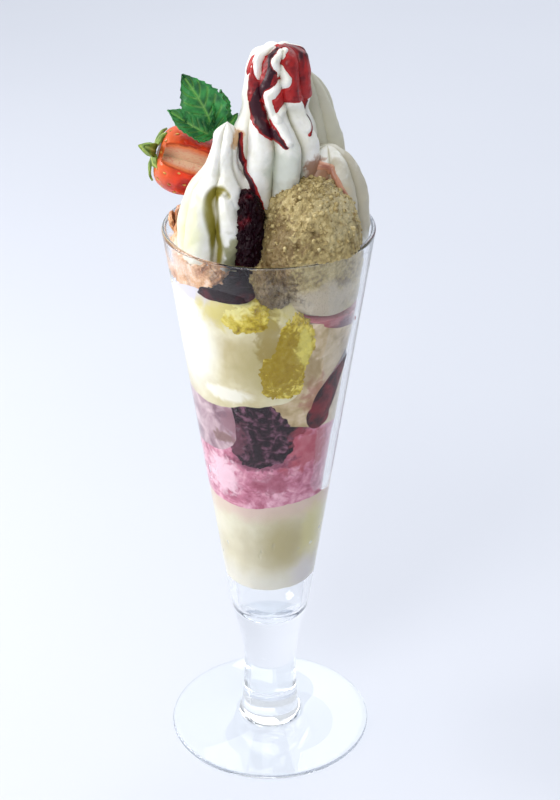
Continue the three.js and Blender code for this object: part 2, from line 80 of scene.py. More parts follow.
def paint(red: float, green: float, blue: float) -> Colour:
    """A colour from its screen values.

    Args:
        red: Red, from 0 to 255.
        green: Green, from 0 to 255.
        blue: Blue, from 0 to 255.

    Returns:
        The colour as linear light, with full opacity.
    """
    shares = [value / 255 for value in (red, green, blue)]
    linear = [c / 12.92 if c <= 0.04045 else ((c + 0.055) / 1.055) ** 2.4 for c in shares]
    return (*linear, 1.0)


def smooth_step(values: Array, low: float, high: float) -> Array:
    """Rises smoothly from 0 at low to 1 at high.

    Args:
        values: Numbers of any shape.
        low: Where the rise starts.
        high: Where it ends.

    Returns:
        The eased numbers, of the same shape.
    """
    share = np.clip((values - low) / (high - low), 0.0, 1.0)
    return share * share * (3.0 - 2.0 * share)


def unit(vectors: Array) -> Array:
    """Vectors at length 1."""
    return vectors / np.maximum(np.linalg.norm(vectors, axis=-1, keepdims=True), 1e-9)


def along_spline(knots: Array, share: Array) -> Array:
    """Points on a smooth curve through knots.

    Args:
        knots: The points that the curve passes through, one to a row.
        share: How far along, from 0 to 1, with the knots spread evenly.

    Returns:
        One point for each share.
    """
    last = len(knots) - 1
    place = np.clip(share, 0.0, 1.0) * last
    start = np.minimum(place.astype(int), last - 1)
    part = (place - start)[..., None]
    before, near, far, after = (knots[np.clip(start + k, 0, last)] for k in (-1, 0, 1, 2))
    lead = 0.5 * (far - before)
    trail = 0.5 * (after - near)
    cubic = 2.0 * near - 2.0 * far + lead + trail
    square = 3.0 * far - 3.0 * near - 2.0 * lead - trail
    return ((cubic * part + square) * part + lead) * part + near


class Path:
    """A smooth curve in space, travelled at an even pace."""

    def __init__(self, knots: list[Spot], samples: int = 240) -> None:
        """Draws the curve.

        Args:
            knots: The points it passes through.
            samples: How many points stand for it.
        """
        self.points = along_spline(np.asarray(knots, float), np.linspace(0, 1, samples))
        steps = np.linalg.norm(np.diff(self.points, axis=0), axis=1)
        self.shares = np.concatenate([[0.0], np.cumsum(steps)]) / steps.sum()

    def at(self, share: Array) -> Array:
        """Points at shares of its length."""
        return np.stack([np.interp(share, self.shares, axis) for axis in self.points.T], -1)

    def heading(self, share: Array) -> Array:
        """Directions of travel at shares of its length."""
        step = 0.01
        return unit(self.at(np.minimum(share + step, 1)) - self.at(np.maximum(share - step, 0)))


class Noise:
    """Smooth seeded noise in space."""

    def __init__(self, seed: int) -> None:
        """Draws the slopes of the lattice.

        Args:
            seed: Picks one noise among many.
        """
        draw = np.random.default_rng(seed)
        self.order = draw.permutation(256)
        self.slopes = unit(draw.normal(size=(256, 3)))
        self.places = draw.uniform(0.1, 0.9, size=(256, 3))

    def _key(self, cells: Array) -> Array:
        """A number from 0 to 255 for each lattice cell."""
        mixed = self.order[cells[:, 0] & 255]
        mixed = self.order[(mixed + cells[:, 1]) & 255]
        return self.order[(mixed + cells[:, 2]) & 255]

    def at(self, points: Array) -> Array:
        """Noise at points, about -1 to 1, with features about one unit wide.

        Args:
            points: Places in space, one to a row.

        Returns:
            One number for each point.
        """
        cells = np.floor(points).astype(int)
        part = points - cells
        ease = part ** 3 * (part * (part * 6.0 - 15.0) + 10.0)
        total = np.zeros(len(points))
        for corner in product((0, 1), repeat=3):
            slope = self.slopes[self._key(cells + corner)]
            weight = np.prod(np.where(corner, ease, 1.0 - ease), axis=1)
            total += weight * ((part - corner) * slope).sum(1)
        return 1.7 * total

    def layered(self, points: Array, octaves: int = 3, gain: float = 0.5) -> Array:
        """Noise with finer noise on top.

        Args:
            points: Places in space, one to a row.
            octaves: How many layers there are, each of half the size.
            gain: The height of each layer as a share of the one before.

        Returns:
            One number for each point, about -1 to 1.
        """
        total = np.zeros(len(points))
        height = 1.0
        for octave in range(octaves):
            total += height * self.at(points * 2.0 ** octave + 17.3 * octave)
            height *= gain
        return total * (1.0 - gain) / (1.0 - gain ** octaves)

    def pebbles(self, points: Array) -> Array:
        """Rounded lumps packed together, 1 at the middle of each and 0 between them.

        Args:
            points: Places in space, one to a row.

        Returns:
            One number for each point.
        """
        cells = np.floor(points).astype(int)
        nearest = np.full(len(points), 4.0)
        for neighbour in product((-1, 0, 1), repeat=3):
            cell = cells + neighbour
            away = points - cell - self.places[self._key(cell)]
            nearest = np.minimum(nearest, (away ** 2).sum(1))
        return np.clip(1.0 - nearest / 0.55, 0.0, 1.0)


def knobs(direction: Array, seed: float) -> Array:
    """The broad unevenness of a spoonful, the same as in the frame.

    Args:
        direction: Unit vectors from the middle of the spoonful.
        seed: Picks one unevenness among many.

    Returns:
        One number for each direction, about -1 to 1.
    """
    x, y, z = direction.T
    broad = np.sin(3.1 * x + 1.7 * seed) * np.cos(2.7 * y - seed)
    middle = np.sin(4.9 * z + 3.3 * x + 2.3 * seed) * np.cos(4.1 * y + 0.7 * seed)
    fine = np.sin(8.3 * x - 6.1 * z + seed) * np.sin(7.7 * y + 5.2 * z + 3.1 * seed)
    return 0.5 * broad + 0.35 * middle + 0.3 * fine


# ---------------------------------------------------------------- solids


@dataclass
class Solid:
    """A closed mesh in millimetres."""

    points: Array
    faces: list[list[int]]

    def moved(self, matrix: Array) -> "Solid":
        """The same solid under a 4 by 4 matrix."""
        return Solid(self.points @ matrix[:3, :3].T + matrix[:3, 3], self.faces)

    def box(self) -> tuple[Array, Array]:
        """Its lowest and highest corners."""
        return self.points.min(0), self.points.max(0)

    def mesh(self, name: str) -> bpy.types.Mesh:
        """The solid as a mesh in metres."""
        mesh = bpy.data.meshes.new(name)
        mesh.from_pydata((self.points * MM).tolist(), [], self.faces)
        mesh.update()
        return mesh

    def largest(self) -> "Solid":
        """Its largest connected piece, without the loose scraps that a cut leaves."""
        pairs = np.array([
            (face[k - 1], face[k]) for face in self.faces for k in range(len(face))
        ])
        label = np.arange(len(self.points))
        while True:
            low = np.minimum(label[pairs[:, 0]], label[pairs[:, 1]])
            new = label.copy()
            np.minimum.at(new, pairs[:, 0], low)
            np.minimum.at(new, pairs[:, 1], low)
            new = new[new]
            if np.array_equal(new, label):
                break
            label = new
        names, counts = np.unique(label, return_counts=True)
        kept = label == names[counts.argmax()]
        number = np.cumsum(kept) - 1
        faces = [[int(number[k]) for k in face] for face in self.faces if kept[face[0]]]
        return Solid(self.points[kept], faces)


def gathered(solids: list[Solid]) -> Solid:
    """Several solids as one mesh of loose pieces.

    Args:
        solids: What to gather, at least one.

    Returns:
        One solid with all their points and faces.
    """
    faces: list[list[int]] = []
    count = 0
    for solid in solids:
        faces += [[k + count for k in face] for face in solid.faces]
        count += len(solid.points)
    return Solid(np.vstack([solid.points for solid in solids]), faces)


def round_axis(radius: Array, azimuth: Array, height: Array) -> Array:
    """Points at a distance from the Z axis, an azimuth in radians and a height."""
    return np.stack([radius * np.cos(azimuth), radius * np.sin(azimuth), height], -1)


@dataclass(frozen=True)
class Rings:
    """Rings of points from a lower pole to an upper pole, closed by a point at each."""

    columns: int
    rows: int

    @staticmethod
    def fine(columns: int, rows: int) -> "Rings":
        """Rings at the detail that this run asks for."""
        return Rings(max(12, round(columns * DETAIL)), max(8, round(rows * DETAIL)))

    def places(self) -> tuple[Array, Array]:
        """Azimuths in radians and climbs from 0 to 1, ring by ring, then both poles."""
        azimuth = np.linspace(-math.pi, math.pi, self.columns, endpoint=False)
        climb = np.linspace(0.0, 1.0, self.rows + 1)[1:-1]
        around, up = np.meshgrid(azimuth, climb)
        return np.append(around.ravel(), [0.0, 0.0]), np.append(up.ravel(), [0.0, 1.0])

    def ball(self) -> Array:
        """The places on a ball of radius 1."""
        azimuth, climb = self.places()
        return round_axis(np.sin(math.pi * climb), azimuth, -np.cos(math.pi * climb))

    def quads(self, rings: int) -> Array:
        """The four-sided faces between rings, facing out."""
        index = np.arange(rings * self.columns).reshape(rings, self.columns)
        following = np.roll(index, -1, axis=1)
        corners = [index[:-1], following[:-1], following[1:], index[1:]]
        return np.stack(corners, -1).reshape(-1, 4)

    def faces(self, rings: int) -> list[list[int]]:
        """All faces, with the fans of triangles at both poles."""
        index = np.arange(self.columns)
        following = np.roll(index, -1)
        low = np.full(self.columns, rings * self.columns)
        bottom = np.stack([low, following, index], -1)
        last = (rings - 1) * self.columns
        top = np.stack([low + 1, last + index, last + following], -1)
        return self.quads(rings).tolist() + bottom.tolist() + top.tolist()

    def turned(self, outline: Array, relief: Array | None = None) -> Solid:
        """A solid turned round the Z axis.

        Args:
            outline: Radius and height of each ring, with the first and last on the axis.
            relief: What to add to the radius, one row for each ring between the poles.

        Returns:
            The closed solid.
        """
        azimuth = np.linspace(-math.pi, math.pi, self.columns, endpoint=False)
        radius = outline[1:-1, :1] + (0.0 if relief is None else relief)
        radius = np.broadcast_to(radius, (len(outline) - 2, self.columns))
        height = np.broadcast_to(outline[1:-1, 1:], radius.shape)
        rings = round_axis(radius, azimuth, height)
        poles = [[0.0, 0.0, outline[0, 1]], [0.0, 0.0, outline[-1, 1]]]
        return Solid(np.vstack([rings.reshape(-1, 3), poles]), self.faces(len(outline) - 2))


def shell(top: Array, bottom: Array, quads: Array) -> Solid:
    """A closed sheet between two surfaces with the same grid.

    Args:
        top: The points of the upper surface.
        bottom: The points of the lower surface, in the same order.
        quads: The four-sided faces of the upper surface that are kept, facing up.

    Returns:
        The closed sheet, with walls along its edges.
    """
    used = np.unique(quads)
    number = np.zeros(len(top), int)
    number[used] = np.arange(len(used))
    quads = number[quads]
    count = len(used)
    starts = quads.ravel()
    ends = np.roll(quads, -1, axis=1).ravel()
    open_edge = ~np.isin(starts * count + ends, ends * count + starts)
    first, second = starts[open_edge], ends[open_edge]
    walls = np.stack([second, first, first + count, second + count], -1)
    faces = quads.tolist() + (quads[:, ::-1] + count).tolist() + walls.tolist()
    return Solid(np.vstack([top[used], bottom[used]]), faces)


def sheet_quads(rows: int, columns: int) -> Array:
    """The faces of a flat grid of rows + 1 by columns + 1 points, facing up."""
    index = np.arange((rows + 1) * (columns + 1)).reshape(rows + 1, columns + 1)
    corners = [index[:-1, :-1], index[1:, :-1], index[1:, 1:], index[:-1, 1:]]
    return np.stack(corners, -1).reshape(-1, 4)


class Operation(Enum):
    """What a boolean step does with a solid."""

    KEEP = "INTERSECT"  # keeps what lies inside the tool
    CUT = "DIFFERENCE"  # takes away what lies inside the tool
    JOIN = "UNION"


class Cutter:
    """Cuts solids with Blender's boolean modifier."""

    def __init__(self) -> None:
        """Starts with nothing placed."""
        self.placed: list[tuple[bpy.types.Object, Array, Array]] = []

    def tool(self, solid: Solid) -> bpy.types.Object:
        """A solid as a passing object that others are cut with."""
        tool = bpy.data.objects.new("cutting_tool", solid.mesh("cutting_tool"))
        bpy.context.scene.collection.objects.link(tool)
        return tool

    def combined(self, solid: Solid, steps: list[tuple[Operation, bpy.types.Object]]) -> Solid:
        """A solid after boolean steps.

        Args:
            solid: What to start from.
            steps: Each step's operation and the passing object that it uses.

        Returns:
            The combined solid, or the same one where there are no steps.
        """
        if not steps:
            return solid
        piece = self.tool(solid)
        for operation, tool in steps:
            modifier = piece.modifiers.new("step", "BOOLEAN")
            modifier.operation = operation.value
            modifier.solver = "MANIFOLD"
            modifier.object = tool
        bpy.context.view_layer.update()
        depsgraph = bpy.context.evaluated_depsgraph_get()
        mesh = bpy.data.meshes.new_from_object(piece.evaluated_get(depsgraph))
        points = np.zeros(len(mesh.vertices) * 3, np.float32)
        mesh.vertices.foreach_get("co", points)
        faces = [list(polygon.vertices) for polygon in mesh.polygons]
        bpy.data.objects.remove(piece)
        if not faces:
            raise RuntimeError("a cut left nothing of its solid")
        return Solid(points.reshape(-1, 3).astype(float) / MM, faces)

    def joined(self, solids: list[Solid]) -> Solid:
        """Several solids that overlap as one."""
        tools = [self.tool(solid) for solid in solids[1:]]
        whole = self.combined(solids[0], [(Operation.JOIN, tool) for tool in tools])
        for tool in tools:
            bpy.data.objects.remove(tool)
        return whole

    def keep_out_of(self, solid: Solid) -> None:
        """Keeps the solids that are fitted in later out of this one."""
        self.placed.append((self.tool(solid), *solid.box()))

    def fit(self, solid: Solid, room: bpy.types.Object | None) -> Solid:
        """Fits a solid in beside all that is placed, and places it.

        Args:
            solid: What to fit in.
            room: The space that it may take, or None where it is clear of the wall.

        Returns:
            The solid cut back, without loose scraps.
        """
        low, high = solid.box()
        steps = [(Operation.KEEP, room)] if room else []
        steps += [
            (Operation.CUT, tool) for tool, tool_low, tool_high in self.placed
            if (low < tool_high).all() and (tool_low < high).all()
        ]
        self.keep_out_of(solid)
        return self.combined(solid, steps).largest()

    def clear(self) -> None:
        """Removes all passing objects."""
        for thing in [o for o in bpy.data.objects if o.name.startswith("cutting_tool")]:
            bpy.data.objects.remove(thing)


# ---------------------------------------------------------------- shader graphs


class Term:
    """A number that varies from place to place. Arithmetic on it adds Math nodes."""

    def __init__(self, graph: "NodeTree", socket: bpy.types.NodeSocket) -> None:
        """Wraps a socket of a node tree."""
        self.graph = graph
        self.socket = socket

    def _math(self, operation: str, first: object, second: object) -> "Term":
        """One Math node on two numbers or terms."""
        node = self.graph.node("ShaderNodeMath", {"operation": operation}, {0: first, 1: second})
        return Term(self.graph, node.outputs[0])

    def __add__(self, other: object) -> "Term":
        """This plus other."""
        return self._math("ADD", self, other)

    def __radd__(self, other: object) -> "Term":
        """Other plus this."""
        return self._math("ADD", other, self)

    def __sub__(self, other: object) -> "Term":
        """This less other."""
        return self._math("SUBTRACT", self, other)

    def __rsub__(self, other: object) -> "Term":
        """Other less this."""
        return self._math("SUBTRACT", other, self)

    def __mul__(self, other: object) -> "Term":
        """This times other."""
        return self._math("MULTIPLY", self, other)

    def __rmul__(self, other: object) -> "Term":
        """Other times this."""
        return self._math("MULTIPLY", other, self)

    def between(self, low: float, high: float) -> "Term":
        """Eased from 0 at low to 1 at high."""
        node = self.graph.node(
            "ShaderNodeMapRange",
            {"interpolation_type": "SMOOTHSTEP"},
            {"Value": self, "From Min": low, "From Max": high},
        )
        return Term(self.graph, node.outputs[0])


class NodeTree:
    """The nodes of a material or of the sky."""

    def __init__(self, owner: bpy.types.Material | bpy.types.World) -> None:
        """Empties the nodes of a material or a world."""
        owner.use_nodes = True
        self.nodes = owner.node_tree.nodes
        self.links = owner.node_tree.links
        self.nodes.clear()

    def node(self, kind: str, settings: dict, inputs: dict) -> bpy.types.Node:
        """Adds a node.

        Args:
            kind: The node's type.
            settings: Its properties, or a ramp's stops, which are set first.
            inputs: Values, terms or sockets for its inputs, by name or number.

        Returns:
            The new node.
        """
        node = self.nodes.new(kind)
        for key, value in settings.items():
            if key == "stops":
                self.set_stops(node.color_ramp, value)
            else:
                setattr(node, key, value)
        for key, value in inputs.items():
            if isinstance(value, Term):
                self.links.new(value.socket, node.inputs[key])
            elif isinstance(value, bpy.types.NodeSocket):
                self.links.new(value, node.inputs[key])
            elif value is not None:
                node.inputs[key].default_value = value
        return node

    @staticmethod
    def set_stops(ramp: bpy.types.ColorRamp, stops: Stops) -> None:
        """Sets a ramp's places and colours."""
        while len(ramp.elements) < len(stops):
            ramp.elements.new(0.5)
        for element, (position, colour) in zip(ramp.elements, stops):
            element.position = position
            element.color = colour

    def ramp(self, term: Term, stops: Stops) -> bpy.types.NodeSocket:
        """A colour picked along stops by a term."""
        return self.node("ShaderNodeValToRGB", {"stops": stops}, {0: term}).outputs[0]

    def part(self, vector: bpy.types.NodeSocket, axis: int) -> Term:
        """One of the three numbers of a vector."""
        return Term(self, self.node("ShaderNodeSeparateXYZ", {}, {0: vector}).outputs[axis])


class Graph(NodeTree):
    """The nodes of one material."""

    def __init__(self, name: str) -> None:
        """Starts an empty material.

        Args:
            name: The material's name.
        """
        self.material = bpy.data.materials.new(name)
        super().__init__(self.material)
        self.place = self.node("ShaderNodeTexCoord", {}, {}).outputs["Object"]

    def moved(self, offset: Spot, stretch: Spot = (1, 1, 1)) -> bpy.types.NodeSocket:
        """The place on the piece, shifted in metres and then stretched."""
        shifted = self.node("ShaderNodeVectorMath", {"operation": "ADD"}, {0: self.place, 1: offset})
        node = self.node(
            "ShaderNodeVectorMath", {"operation": "MULTIPLY"}, {0: shifted.outputs[0], 1: stretch}
        )
        return node.outputs[0]

    def noise(self, size: float, detail: float = 3, seed: float = 0, stretch: Spot = (1, 1, 1),
              swirl: float = 0) -> Term:
        """Cloudy noise from 0 to 1.

        Args:
            size: The width of its features in millimetres.
            detail: How many finer layers it has.
            seed: Shifts it, to pick one noise among many.
            stretch: Presses it together along each axis.
            swirl: How far it is drawn out into swirls.

        Returns:
            The noise.
        """
        node = self.node(
            "ShaderNodeTexNoise", {},
            {"Vector": self.moved((seed, 0.37 * seed, 0.11 * seed), stretch), "Scale": 1 / (size * MM),
             "Detail": detail, "Distortion": swirl},
        )
        return Term(self, node.outputs[0])

    def cells(self, size: float, seed: float = 0) -> Term:
        """Distance to the nearest of scattered points, in units of size.

        Args:
            size: The distance between points in millimetres.
            seed: Shifts them.

        Returns:
            The distance.
        """
        node = self.node(
            "ShaderNodeTexVoronoi", {}, {"Vector": self.moved((seed, 0, 0)), "Scale": 1 / (size * MM)}
        )
        return Term(self, node.outputs[0])

    def mark(self, name: str) -> Term:
        """A number stored on the piece's points."""
        node = self.node("ShaderNodeAttribute", {"attribute_name": name}, {})
        return Term(self, node.outputs["Fac"])

    def mix(self, factor: object, first: object, second: object) -> bpy.types.NodeSocket:
        """A colour between two.

        Args:
            factor: 0 gives the first and 1 the second.
            first: A colour or its socket.
            second: A colour or its socket.

        Returns:
            The mixed colour.
        """
        node = self.node("ShaderNodeMix", {"data_type": "RGBA"}, {0: factor, 6: first, 7: second})
        return node.outputs[2]

    def bump(self, height: Term, depth: float, normal: bpy.types.NodeSocket | None = None
             ) -> bpy.types.NodeSocket:
        """The normal of a surface with relief.

        Args:
            height: The relief, from 0 to 1.
            depth: How deep it is, in millimetres.
            normal: The normal under it, where another relief comes first.

        Returns:
            The normal.
        """
        return self.node(
            "ShaderNodeBump", {}, {"Height": height, "Distance": depth * MM, "Normal": normal}
        ).outputs[0]

    def shader(self, kind: str, inputs: dict) -> bpy.types.NodeSocket:
        """A shader of a kind, such as Principled, with its sockets set."""
        return self.node(f"ShaderNodeBsdf{kind}", {}, inputs).outputs[0]

    def blend(self, factor: Term, first: bpy.types.NodeSocket, second: bpy.types.NodeSocket
              ) -> bpy.types.NodeSocket:
        """One of two shaders.

        Args:
            factor: 0 gives the first and 1 the second.
            first: A shader.
            second: A shader.

        Returns:
            The blended shader.
        """
        return self.node("ShaderNodeMixShader", {}, {0: factor, 1: first, 2: second}).outputs[0]

    def end(self, shader: bpy.types.NodeSocket) -> "Graph":
        """Makes a shader the surface."""
        self.node("ShaderNodeOutputMaterial", {}, {"Surface": shader})
        return self

    def finish(self, inputs: dict) -> "Graph":
        """Makes a Principled shader the surface, by the names of its sockets."""
        return self.end(self.shader("Principled", inputs))


# ---------------------------------------------------------------- finishes


class Finish:
    """A finish that can be put on a piece."""

    name: str

    def material(self) -> bpy.types.Material:
        """The finish as a material, made once."""
        found = bpy.data.materials.get(self.name)
        return found or self.shade(Graph(self.name)).material

    def shade(self, graph: Graph) -> Graph:
        """Fills the material's graph."""
        raise NotImplementedError


@dataclass(frozen=True)
class ClearGlass(Finish):
    """Clear glass that lets lamps through to the food."""

    name: str = "clear glass"
    index: float = 1.43
    turns: float = 4.5  # how often light turns inside it before it leaves straight on
    tint: Colour = (0.975, 0.985, 0.99, 1.0)
    deep: Colour = (0.68, 0.71, 0.76, 1.0)  # the light that leaves it so late

    def shade(self, graph: Graph) -> Graph:
        """Fills the graph with refracting glass that casts a pale shadow."""
        haze = graph.noise(9, 2).between(0.45, 0.9)
        solid = graph.shader("Principled", {
            "Base Color": self.tint, "Roughness": haze * 0.012, "IOR": self.index,
            "Transmission Weight": 1.0,
        })
        clear = graph.shader("Transparent", {"Color": self.tint})
        murky = graph.shader("Transparent", {"Color": self.deep})
        ray = graph.node("ShaderNodeLightPath", {}, {}).outputs
        late = Term(graph, ray["Ray Depth"]).between(self.turns, self.turns + 1)
        lighting = Term(graph, ray["Is Shadow Ray"]) + ray["Is Diffuse Ray"]
        return graph.end(graph.blend(lighting, graph.blend(late, solid, murky), clear))


@dataclass(frozen=True)
class StainAndPaintedLight:
    """A patch of colour on a food round a place, with a ragged edge: some are stains that have run in,
    others painted light or painted shade.
    """

    colour: Colour
    middle: Spot  # millimetres
    reach: Spot  # how far it spreads along each axis
    strength: float = 1.0
    patch: float = 7.0  # the width of the raggedness in millimetres
    ragged: float = 0.9
    soft: float = 0.25  # how slowly it fades at its edge

    def over(self, graph: Graph, colour: object, seed: float) -> object:
        """Lays the patch over a colour.

        Args:
            graph: The material's graph.
            colour: The colour under it.
            seed: Picks its raggedness.

        Returns:
            The colour with the patch laid over it.
        """
        offset = tuple(-value * MM for value in self.middle)
        place = graph.moved(offset, tuple(1 / (value * MM) for value in self.reach))
        length = graph.node("ShaderNodeVectorMath", {"operation": "LENGTH"}, {0: place})
        edge = graph.noise(self.patch, 4, seed, swirl=0.8) - 0.5
        away = Term(graph, length.outputs["Value"]) + edge * 2.0 * self.ragged
        cover = 1 - away.between(0.9 - self.soft, 0.9 + self.soft)
        return graph.mix(cover * self.strength, colour, self.colour)


@dataclass(frozen=True)
class SoftFood(Finish):
    """Ice cream, sorbet, cream or compote: mottled, grainy and a little wet."""

    name: str
    light: Colour
    body: Colour
    dark: Colour
    broad: float = 14.0  # widths of the mottling in millimetres
    fine: float = 2.2
    speckle: float = 0.25  # how much of the mottling is fine
    stretch: Spot = (1.0, 1.0, 1.0)
    swirl: float = 0.6
    grain: float = 0.9  # width of the grain in millimetres
    depth: float = 0.25  # and how deep it is
    roughness: float = 0.55
    coat: float = 0.0
    shine: float = 0.12  # little against the glass, 0.5 in the open
    glow: float = 0.0  # how much light goes in and comes out again
    glow_colour: Spot = (1.0, 0.6, 0.4)
    hollow: Colour | None = None  # painted shade at the bottom of the grooves and creases of piped cream
    stains_and_painted_light: tuple[StainAndPaintedLight, ...] = ()
    seed: float = 0.0

    def colour(self, graph: Graph) -> object:
        """The mottled colour with its stains and its painted light and shade."""
        broad = graph.noise(self.broad, 3, self.seed, self.stretch, self.swirl)
        fine = graph.noise(self.fine, 4, self.seed + 1, self.stretch)
        tone = broad * (1 - self.speckle) + fine * self.speckle
        colour = graph.ramp(tone, [(0.34, self.dark), (0.5, self.body), (0.66, self.light)])
        # Painted shade in the grooves and creases of piped cream.
        if self.hollow:
            colour = graph.mix(graph.mark("hollow"), colour, self.hollow)
        for number, stain_and_light in enumerate(self.stains_and_painted_light):
            colour = stain_and_light.over(graph, colour, self.seed + 3 + number)
        return colour

    def shade(self, graph: Graph) -> Graph:
        """Fills the graph with colour, grain and glow."""
        grain = graph.noise(self.grain, 4, self.seed + 5)
        lumps = graph.noise(self.grain * 3.5, 2, self.seed + 7)
        wet = graph.noise(self.broad * 0.7, 2, self.seed + 9)
        return graph.finish({
            "Base Color": self.colour(graph),
            "Roughness": self.roughness + (wet - 0.5) * 0.3,
            "Coat Weight": self.coat,
            "Coat Roughness": 0.12,
            "Specular IOR Level": self.shine,
            "Subsurface Weight": self.glow,
            "Subsurface Radius": self.glow_colour,
            "Subsurface Scale": 0.004,
            "Normal": graph.bump(grain, self.depth, graph.bump(lumps, self.depth * 2)),
        })


@dataclass(frozen=True)
class Sauce(Finish):
    """Wet berry sauce, redder where it is thin."""

    name: str
    thin: Colour
    thick: Colour
    pulp: float = 1.6  # width of the bits of fruit in millimetres
    depth: float = 0.25
    roughness: float = 0.3
    shine: float = 0.5  # less against the glass
    coat: float = 0.3
    seed: float = 0.0

    def shade(self, graph: Graph) -> Graph:
        """Fills the graph with thin and thick sauce and its pulp."""
        bits = graph.noise(self.pulp, 3, self.seed)
        broad = graph.noise(6 * self.pulp, 2, self.seed + 2, swirl=1.0)
        depth = graph.mark("thick") + (broad - 0.5) * 1.7 + (bits - 0.5) * 0.4
        colour = graph.mix(depth.between(0.1, 0.9), self.thin, self.thick)
        return graph.finish({
            "Base Color": colour,
            "Roughness": self.roughness + bits * 0.15,
            "Coat Weight": self.coat,
            "Coat Roughness": 0.08,
            "Specular IOR Level": self.shine,
            "Normal": graph.bump(bits, self.depth, graph.bump(broad, 3 * self.depth)),
        })


@dataclass(frozen=True)
class BerryFruit(Finish):
    """A strawberry: red skin, and pale flesh with streaks in the cut."""

    name: str = "cut berry"
    skin: Colour = paint(230, 58, 14)
    shadow: Colour = paint(172, 22, 14)
    shoulder: Colour = paint(214, 104, 44)
    flesh: Colour = paint(255, 152, 92)
    heart: Colour = paint(255, 232, 206)

    def shade(self, graph: Graph) -> Graph:
        """Fills the graph with skin outside and flesh inside."""
        patches = graph.noise(9, 3)
        fine = graph.noise(1.6, 3, 2)
        skin = graph.mix(patches.between(0.4, 0.62), self.shadow, self.skin)
        skin = graph.mix(graph.mark("shoulder") * 0.75, skin, self.shoulder)
        rim = graph.mark("flesh") + (fine - 0.5) * 0.16
        inside = graph.mix(rim.between(0.15, 0.6), self.flesh, self.heart)
        streaks = graph.noise(1.5, 2, 5, (1, 1, 5))
        inside = graph.mix(streaks.between(0.52, 0.68) * 0.4, inside, self.skin)
        colour = graph.mix(rim.between(0.05, 0.2), skin, inside)
        return graph.finish({
            "Base Color": colour,
            "Roughness": 0.26 + fine * 0.2,
            "Coat Weight": 0.15,
            "Specular IOR Level": 0.3,
            "Subsurface Weight": 0.15,
            "Subsurface Radius": (1.0, 0.3, 0.2),
            "Subsurface Scale": 0.003,
            "Normal": graph.bump(fine, 0.2),
        })


@dataclass(frozen=True)
class LeafGreen(Finish):
    """A green leaf with pale veins, which its points hold."""

    name: str
    blade: Colour
    shade_side: Colour
    vein: Colour
    roughness: float = 0.42

    def shade(self, graph: Graph) -> Graph:
        """Fills the graph with blade, veins and fine creases."""
        mottle = graph.noise(4, 4)
        creases = graph.noise(0.8, 3, 3)
        colour = graph.mix(mottle.between(0.35, 0.65), self.shade_side, self.blade)
        colour = graph.mix(graph.mark("vein") * 0.7, colour, self.vein)
        return graph.finish({
            "Base Color": colour,
            "Roughness": self.roughness + creases * 0.2,
            "Subsurface Weight": 0.1,
            "Subsurface Radius": (0.5, 1.0, 0.3),
            "Subsurface Scale": 0.002,
            "Normal": graph.bump(creases, 0.15, graph.bump(mottle, 0.4)),
        })


@dataclass(frozen=True)
class Toasted(Finish):
    """Toasted cereal: golden, browner in blisters, with a sugary sheen."""

    name: str = "toasted flakes"
    gold: Colour = paint(220, 168, 122)
    brown: Colour = paint(172, 108, 58)
    pale: Colour = paint(240, 212, 188)

    def shade(self, graph: Graph) -> Graph:
        """Fills the graph with toasting and blisters."""
        toast = graph.noise(5, 4, swirl=0.5)
        blisters = graph.cells(1.6)
        speckle = graph.noise(0.7, 3, 4)
        colour = graph.ramp(
            toast * 0.7 + speckle * 0.3, [(0.36, self.brown), (0.5, self.gold), (0.63, self.pale)]
        )
        return graph.finish({
            "Base Color": colour,
            "Roughness": 0.45 + speckle * 0.3,
            "Normal": graph.bump(speckle, 0.12, graph.bump(blisters, 0.35)),
        })


@dataclass(frozen=True)
class SeedCoat(Finish):
    """The small dry seeds on a strawberry."""

    name: str = "strawberry seeds"
    straw: Colour = paint(226, 178, 84)
    tan: Colour = paint(168, 104, 42)

    def shade(self, graph: Graph) -> Graph:
        """Fills the graph with straw and tan."""
        tone = graph.noise(1.2, 2)
        return graph.finish({
            "Base Color": graph.mix(tone.between(0.4, 0.6), self.tan, self.straw),
            "Roughness": 0.4,
            "Normal": graph.bump(tone, 0.05),
        })


@dataclass(frozen=True)
class PaleFloor(Finish):
    """A plain pale table top."""

    name: str = "pale floor"
    near: Colour = paint(214, 217, 226)
    far: Colour = paint(219, 222, 230)
    mirrored: Colour = paint(70, 72, 80)  # what shiny things show of its front
    dimmed: Spot = (-0.3, -0.16)  # where that starts to fade and ends, in metres along Y

    def shade(self, graph: Graph) -> Graph:
        """Fills the graph with a nearly even tone, dimmer in mirrors where it lies in front."""
        tone = graph.noise(260, 2)
        top = graph.shader("Principled", {
            "Base Color": graph.mix(tone, self.near, self.far),
            "Roughness": 0.7,
            "Specular IOR Level": 0.2,
        })
        dim = graph.shader("Diffuse", {"Color": self.mirrored})
        ray = graph.node("ShaderNodeLightPath", {}, {}).outputs
        ahead = 1 - graph.part(graph.place, 1).between(*self.dimmed)
        mirrored = Term(graph, ray["Is Reflection Ray"]) * ray["Is Singular Ray"] * ahead
        return graph.end(graph.blend(mirrored, top, dim))


